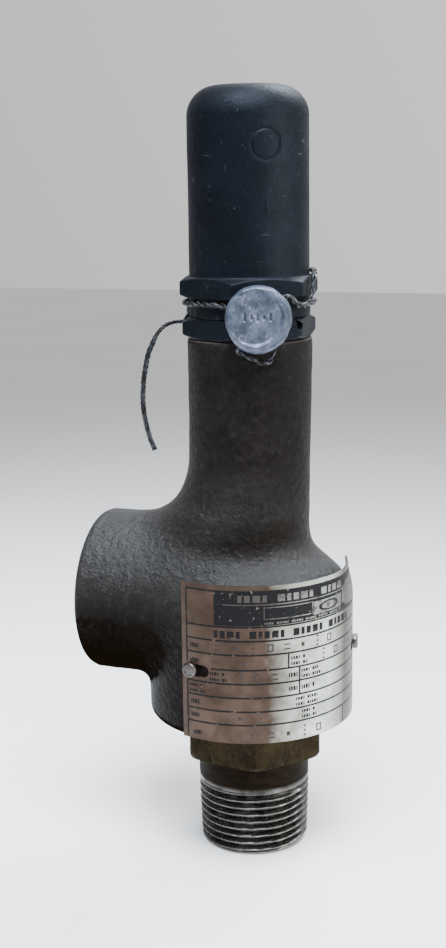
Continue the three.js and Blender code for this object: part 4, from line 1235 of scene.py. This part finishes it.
# small printed captions: row, start, length, lines
CAPTIONS = [
    ("B", 2.4, 2.4, 1), ("C", 2.4, 2.1, 1), ("C", 26.3, 4.2, 2), ("D", 7.3, 4.2, 2), ("D", 25.7, 2.2, 1),
    ("D", 28.9, 5.1, 2), ("E", 2.0, 4.0, 2), ("E", 25.7, 2.2, 1), ("E", 28.9, 3.6, 1), ("F", 2.4, 2.6, 1),
    ("F", 27.5, 6.5, 2), ("G", 2.4, 2.6, 1), ("G", 29.0, 4.0, 2), ("H", 2.9, 2.8, 1),
]
# stamped marks: row, positions across
STAMPS = {
    "B": (8.6, 12.6, 16.6, 20.6, 24.6, 28.6, 32.6, 36.5), "C": (14.5, 34.6, 39.0, 43.0, 46.5),
    "D": (14.0, 17.5, 21.7), "G": (13.7, 18.3), "H": (13.7, 17.0, 20.8, 24.8, 29.0, 33.0, 46.0),
}


def make_print():
    """Printed frame, rules, header panel and caption blocks, and stamped marks; no lettering."""
    ink = Print("nameplate_print", INK, PRINT_THICKNESS)
    clear = Print("nameplate_clear_marks", CLEAR, 2 * PRINT_THICKNESS)
    rule_with_frame(ink)
    make_header(ink, clear)
    caption(ink, PANEL_LEFT, 36.0, ROW_LOW["A"] + 0.65, 1.7, 1.7)
    for row, start, length, lines in CAPTIONS:
        for line in range(lines):
            low = ROW_LOW[row] + (0.55 + 1.35 * line if lines > 1 else 1.1)
            caption(ink, start, length - 0.5 * line, low, 0.7 if lines > 1 else 1.0)
    ink.finish()
    clear.finish()
    make_ring_mark()
    stamps = Print("nameplate_stamps", STAMP, 0.04)
    for row, places in STAMPS.items():
        for k, across in enumerate(places):
            stamped_mark(stamps, across, ROW_LOW[row] + 0.4, k + ord(row))
    stamps.finish()


def caption(ink, start, length, low, height, pitch=0.62):
    """A line of plain blocks that stands for a printed caption."""
    across, k = start, 0
    while across < start + length:
        wide = pitch * (0.5 + 0.2 * ((k * 7) % 3))
        if k % 6 != 4:
            ink.bar(across, across + wide, low, low + height)
        across += wide + pitch * 0.3
        k += 1


def stamped_mark(stamps, left, low, kind):
    """A plain punched mark: dots in a column, a square outline, two dashes or a filled block."""
    wide, thick = 1.5, 0.3
    if kind % 4 == 0:
        for z in (low, low + 1.08, low + 2.16):
            stamps.bar(left + 0.5, left + 1.0, z, z + 0.45)
    elif kind % 4 == 1:
        stamps.box(left, left + wide, low + thick, low + 2.1, thick)
    elif kind % 4 == 2:
        for z in (low + 0.5, low + 1.6):
            stamps.bar(left, left + wide, z, z + thick)
    else:
        stamps.bar(left + 0.3, left + 1.1, low + 0.7, low + 1.7)


def make_plate_screws():
    """Drive screws with a flat face and a rounded rim."""
    seat = PLATE_OUTER + 0.04
    outline = [(0, 21.2), (0.65, 21.2), (0.95, 22), (0.95, seat), (1.6, seat), (1.8, seat + 0.2)]
    outline += arc(1.25, seat + 0.7, 0.55, 0.5, 0, 90, 6)
    outline += [(1.05, seat + 1.06), (0.6, seat + 1.1), (0, seat + 1.12)]
    points, faces = turned_mesh(outline, 48)
    for side, turn in zip(("left", "right"), PLATE_SCREW_TURNS):
        node = "nameplate_screw_" + side
        placed = laid(points, turn, PLATE_SCREW_Z) - (LEAN, 0, 0)
        screw = new_mesh_object(node + "_head", placed, faces, 40)
        place_piece(screw, "root", SCREW_STEEL, "stainless", node)


# ---------------- lead seal
def crushed(p):
    """A flat disc's points, pressed by an off-centre die that raised a lip and left plain ticks."""
    front = SEAL_THICKNESS / 2
    x, y, z = p.T
    reach, angle = np.hypot(x, y), np.arctan2(y, x)
    ring = np.stack([2.2 * np.cos(angle), 2.2 * np.sin(angle), 0 * x], 1)
    wobble = 1 + 0.035 * layered_noise(ring, 1.1, 91, 2) - 0.012 * np.cos(2 * angle)
    x, y = x * wobble, y * wobble
    from_die = np.hypot(x + 1.0, y - 0.7)
    on_face = smooth_step(0.6 * front, front, z)
    pressed = smooth_step(6.35, 5.75, from_die)
    lower_right = smooth_step(0.2, 0.95, np.cos(angle + 0.75))
    lip = np.exp(-(((from_die - 6.6) / 0.4) ** 2)) * 0.55 * lower_right
    crumple = layered_noise(p * (1, 1, 0.3), 1.5, 95, 3) * (0.07 + 0.12 * smooth_step(-2, 2, y))
    ticks = np.zeros(len(p))
    for k in range(5):
        half = 0.55 if k % 2 else 0.85
        across = x + 3.1 - 1.4 * k
        ticks += np.exp(-((across / 0.24) ** 2)) * smooth_step(half + 0.25, half - 0.25, np.abs(y - 0.6))
    rise = on_face * (-0.42 * pressed + lip + crumple - 0.38 * ticks * pressed)
    sag = 0.12 * layered_noise(p, 4.0, 97, 2) * np.sign(z) * smooth_step(SEAL_RADIUS, SEAL_RADIUS - 2, reach)
    return np.stack([x, y, np.minimum(z + rise + sag * (1 - on_face), front + 0.3)], 1)


def make_seal():
    """Lead disc crushed on the wire."""
    front, rim = SEAL_THICKNESS / 2, SEAL_RADIUS - 0.9
    outline = [(0, -front)] + [(r, -front) for r in np.linspace(0.12, rim, 20)[:-1]]
    outline += arc(rim, 0, 0.9, front, -90, 90, 14)
    outline += [(r, front) for r in np.linspace(rim, 0.12, 58)[1:]] + [(0, front)]
    points, faces = turned_mesh(outline, 200)
    placed = laid(crushed(points) + (0, 0, SEAL_MIDDLE), SEAL_TURN, SEAL_Z)
    seal = new_mesh_object("lead_seal_pressed", placed, faces, 55)
    place_piece(seal, "cap_group", LEAD, "lead", "lead_seal")


# ---------------- stage
def make_floor():
    half = 1600
    corners = [(-half, -half, 0), (half, -half, 0), (half, half, 0), (-half, half, 0)]
    floor = new_mesh_object("floor", corners, [(0, 1, 2, 3)])
    n = new_material("floor_pale")
    tone = n.blend(n.noise(120.0, detail=2), 0.3, 0.7, (0.86, 0.86, 0.86), (0.88, 0.88, 0.88))
    floor.data.materials.append(n.finish(tone, 0.9, 0.0))


def area_light(name, place, aim, size, power, color, spread=60):
    """A soft box with a grid: spread is the width of its beam in degrees."""
    data = bpy.data.lights.new(name, "AREA")
    data.spread = math.radians(spread)
    data.shape = "RECTANGLE"
    data.size, data.size_y = size
    data.energy = power
    data.color = color
    light = add_object(name, data)
    light.location = place
    light.rotation_euler = (Vector(aim) - Vector(place)).to_track_quat("-Z", "Y").to_euler()


def make_room():
    """A white room that is dim low on the viewer's left."""
    n = Nodes(bpy.data.worlds.new("studio"))
    dim_side = math.radians(VIEW_AZIMUTH - 55)
    towards = n.add("VectorMath")
    towards.operation = "DOT_PRODUCT"
    n.put(n.coordinates["Generated"], towards.inputs[0])
    n.put((0.92 * math.sin(dim_side), -0.92 * math.cos(dim_side), -0.4), towards.inputs[1])
    background = n.tree.nodes["Background"]
    n.put((1.0, 1.0, 1.0), background.inputs["Color"])
    n.put(n.ramp(towards.outputs["Value"], -1.0, 0.5, 1.15, 0.16), background.inputs["Strength"])
    bpy.context.scene.world = n.owner


def make_lights():
    """Cool windows above and behind, and two side lights. Places, aims and sizes are in metres."""
    middle, sky = (0, 0, 0.09), (0.84, 0.91, 1.0)
    area_light("top_window", (0.06, -0.2, 0.62), (0, 0, 0.1), (0.45, 0.4), 2.8, sky)
    area_light("rear_window", (0.12, 0.45, 0.62), (0, 0, 0.16), (0.6, 0.25), 1.0, sky, 50)
    area_light("right_softbox", (0.55, -0.12, 0.16), middle, (0.3, 0.5), 0.7, (1.0, 1.0, 0.97))
    area_light("left_softbox", (-0.4, -0.3, 0.5), middle, (0.35, 0.4), 0.12, (0.9, 0.94, 1.0))


make_body()
make_nozzle()
make_base()
make_plug()
make_cap()
make_screw()
make_nut()
make_inner_pieces()
make_spring()
make_plate()
make_print()
make_plate_screws()
make_seal()
make_floor()
make_room()
make_lights()
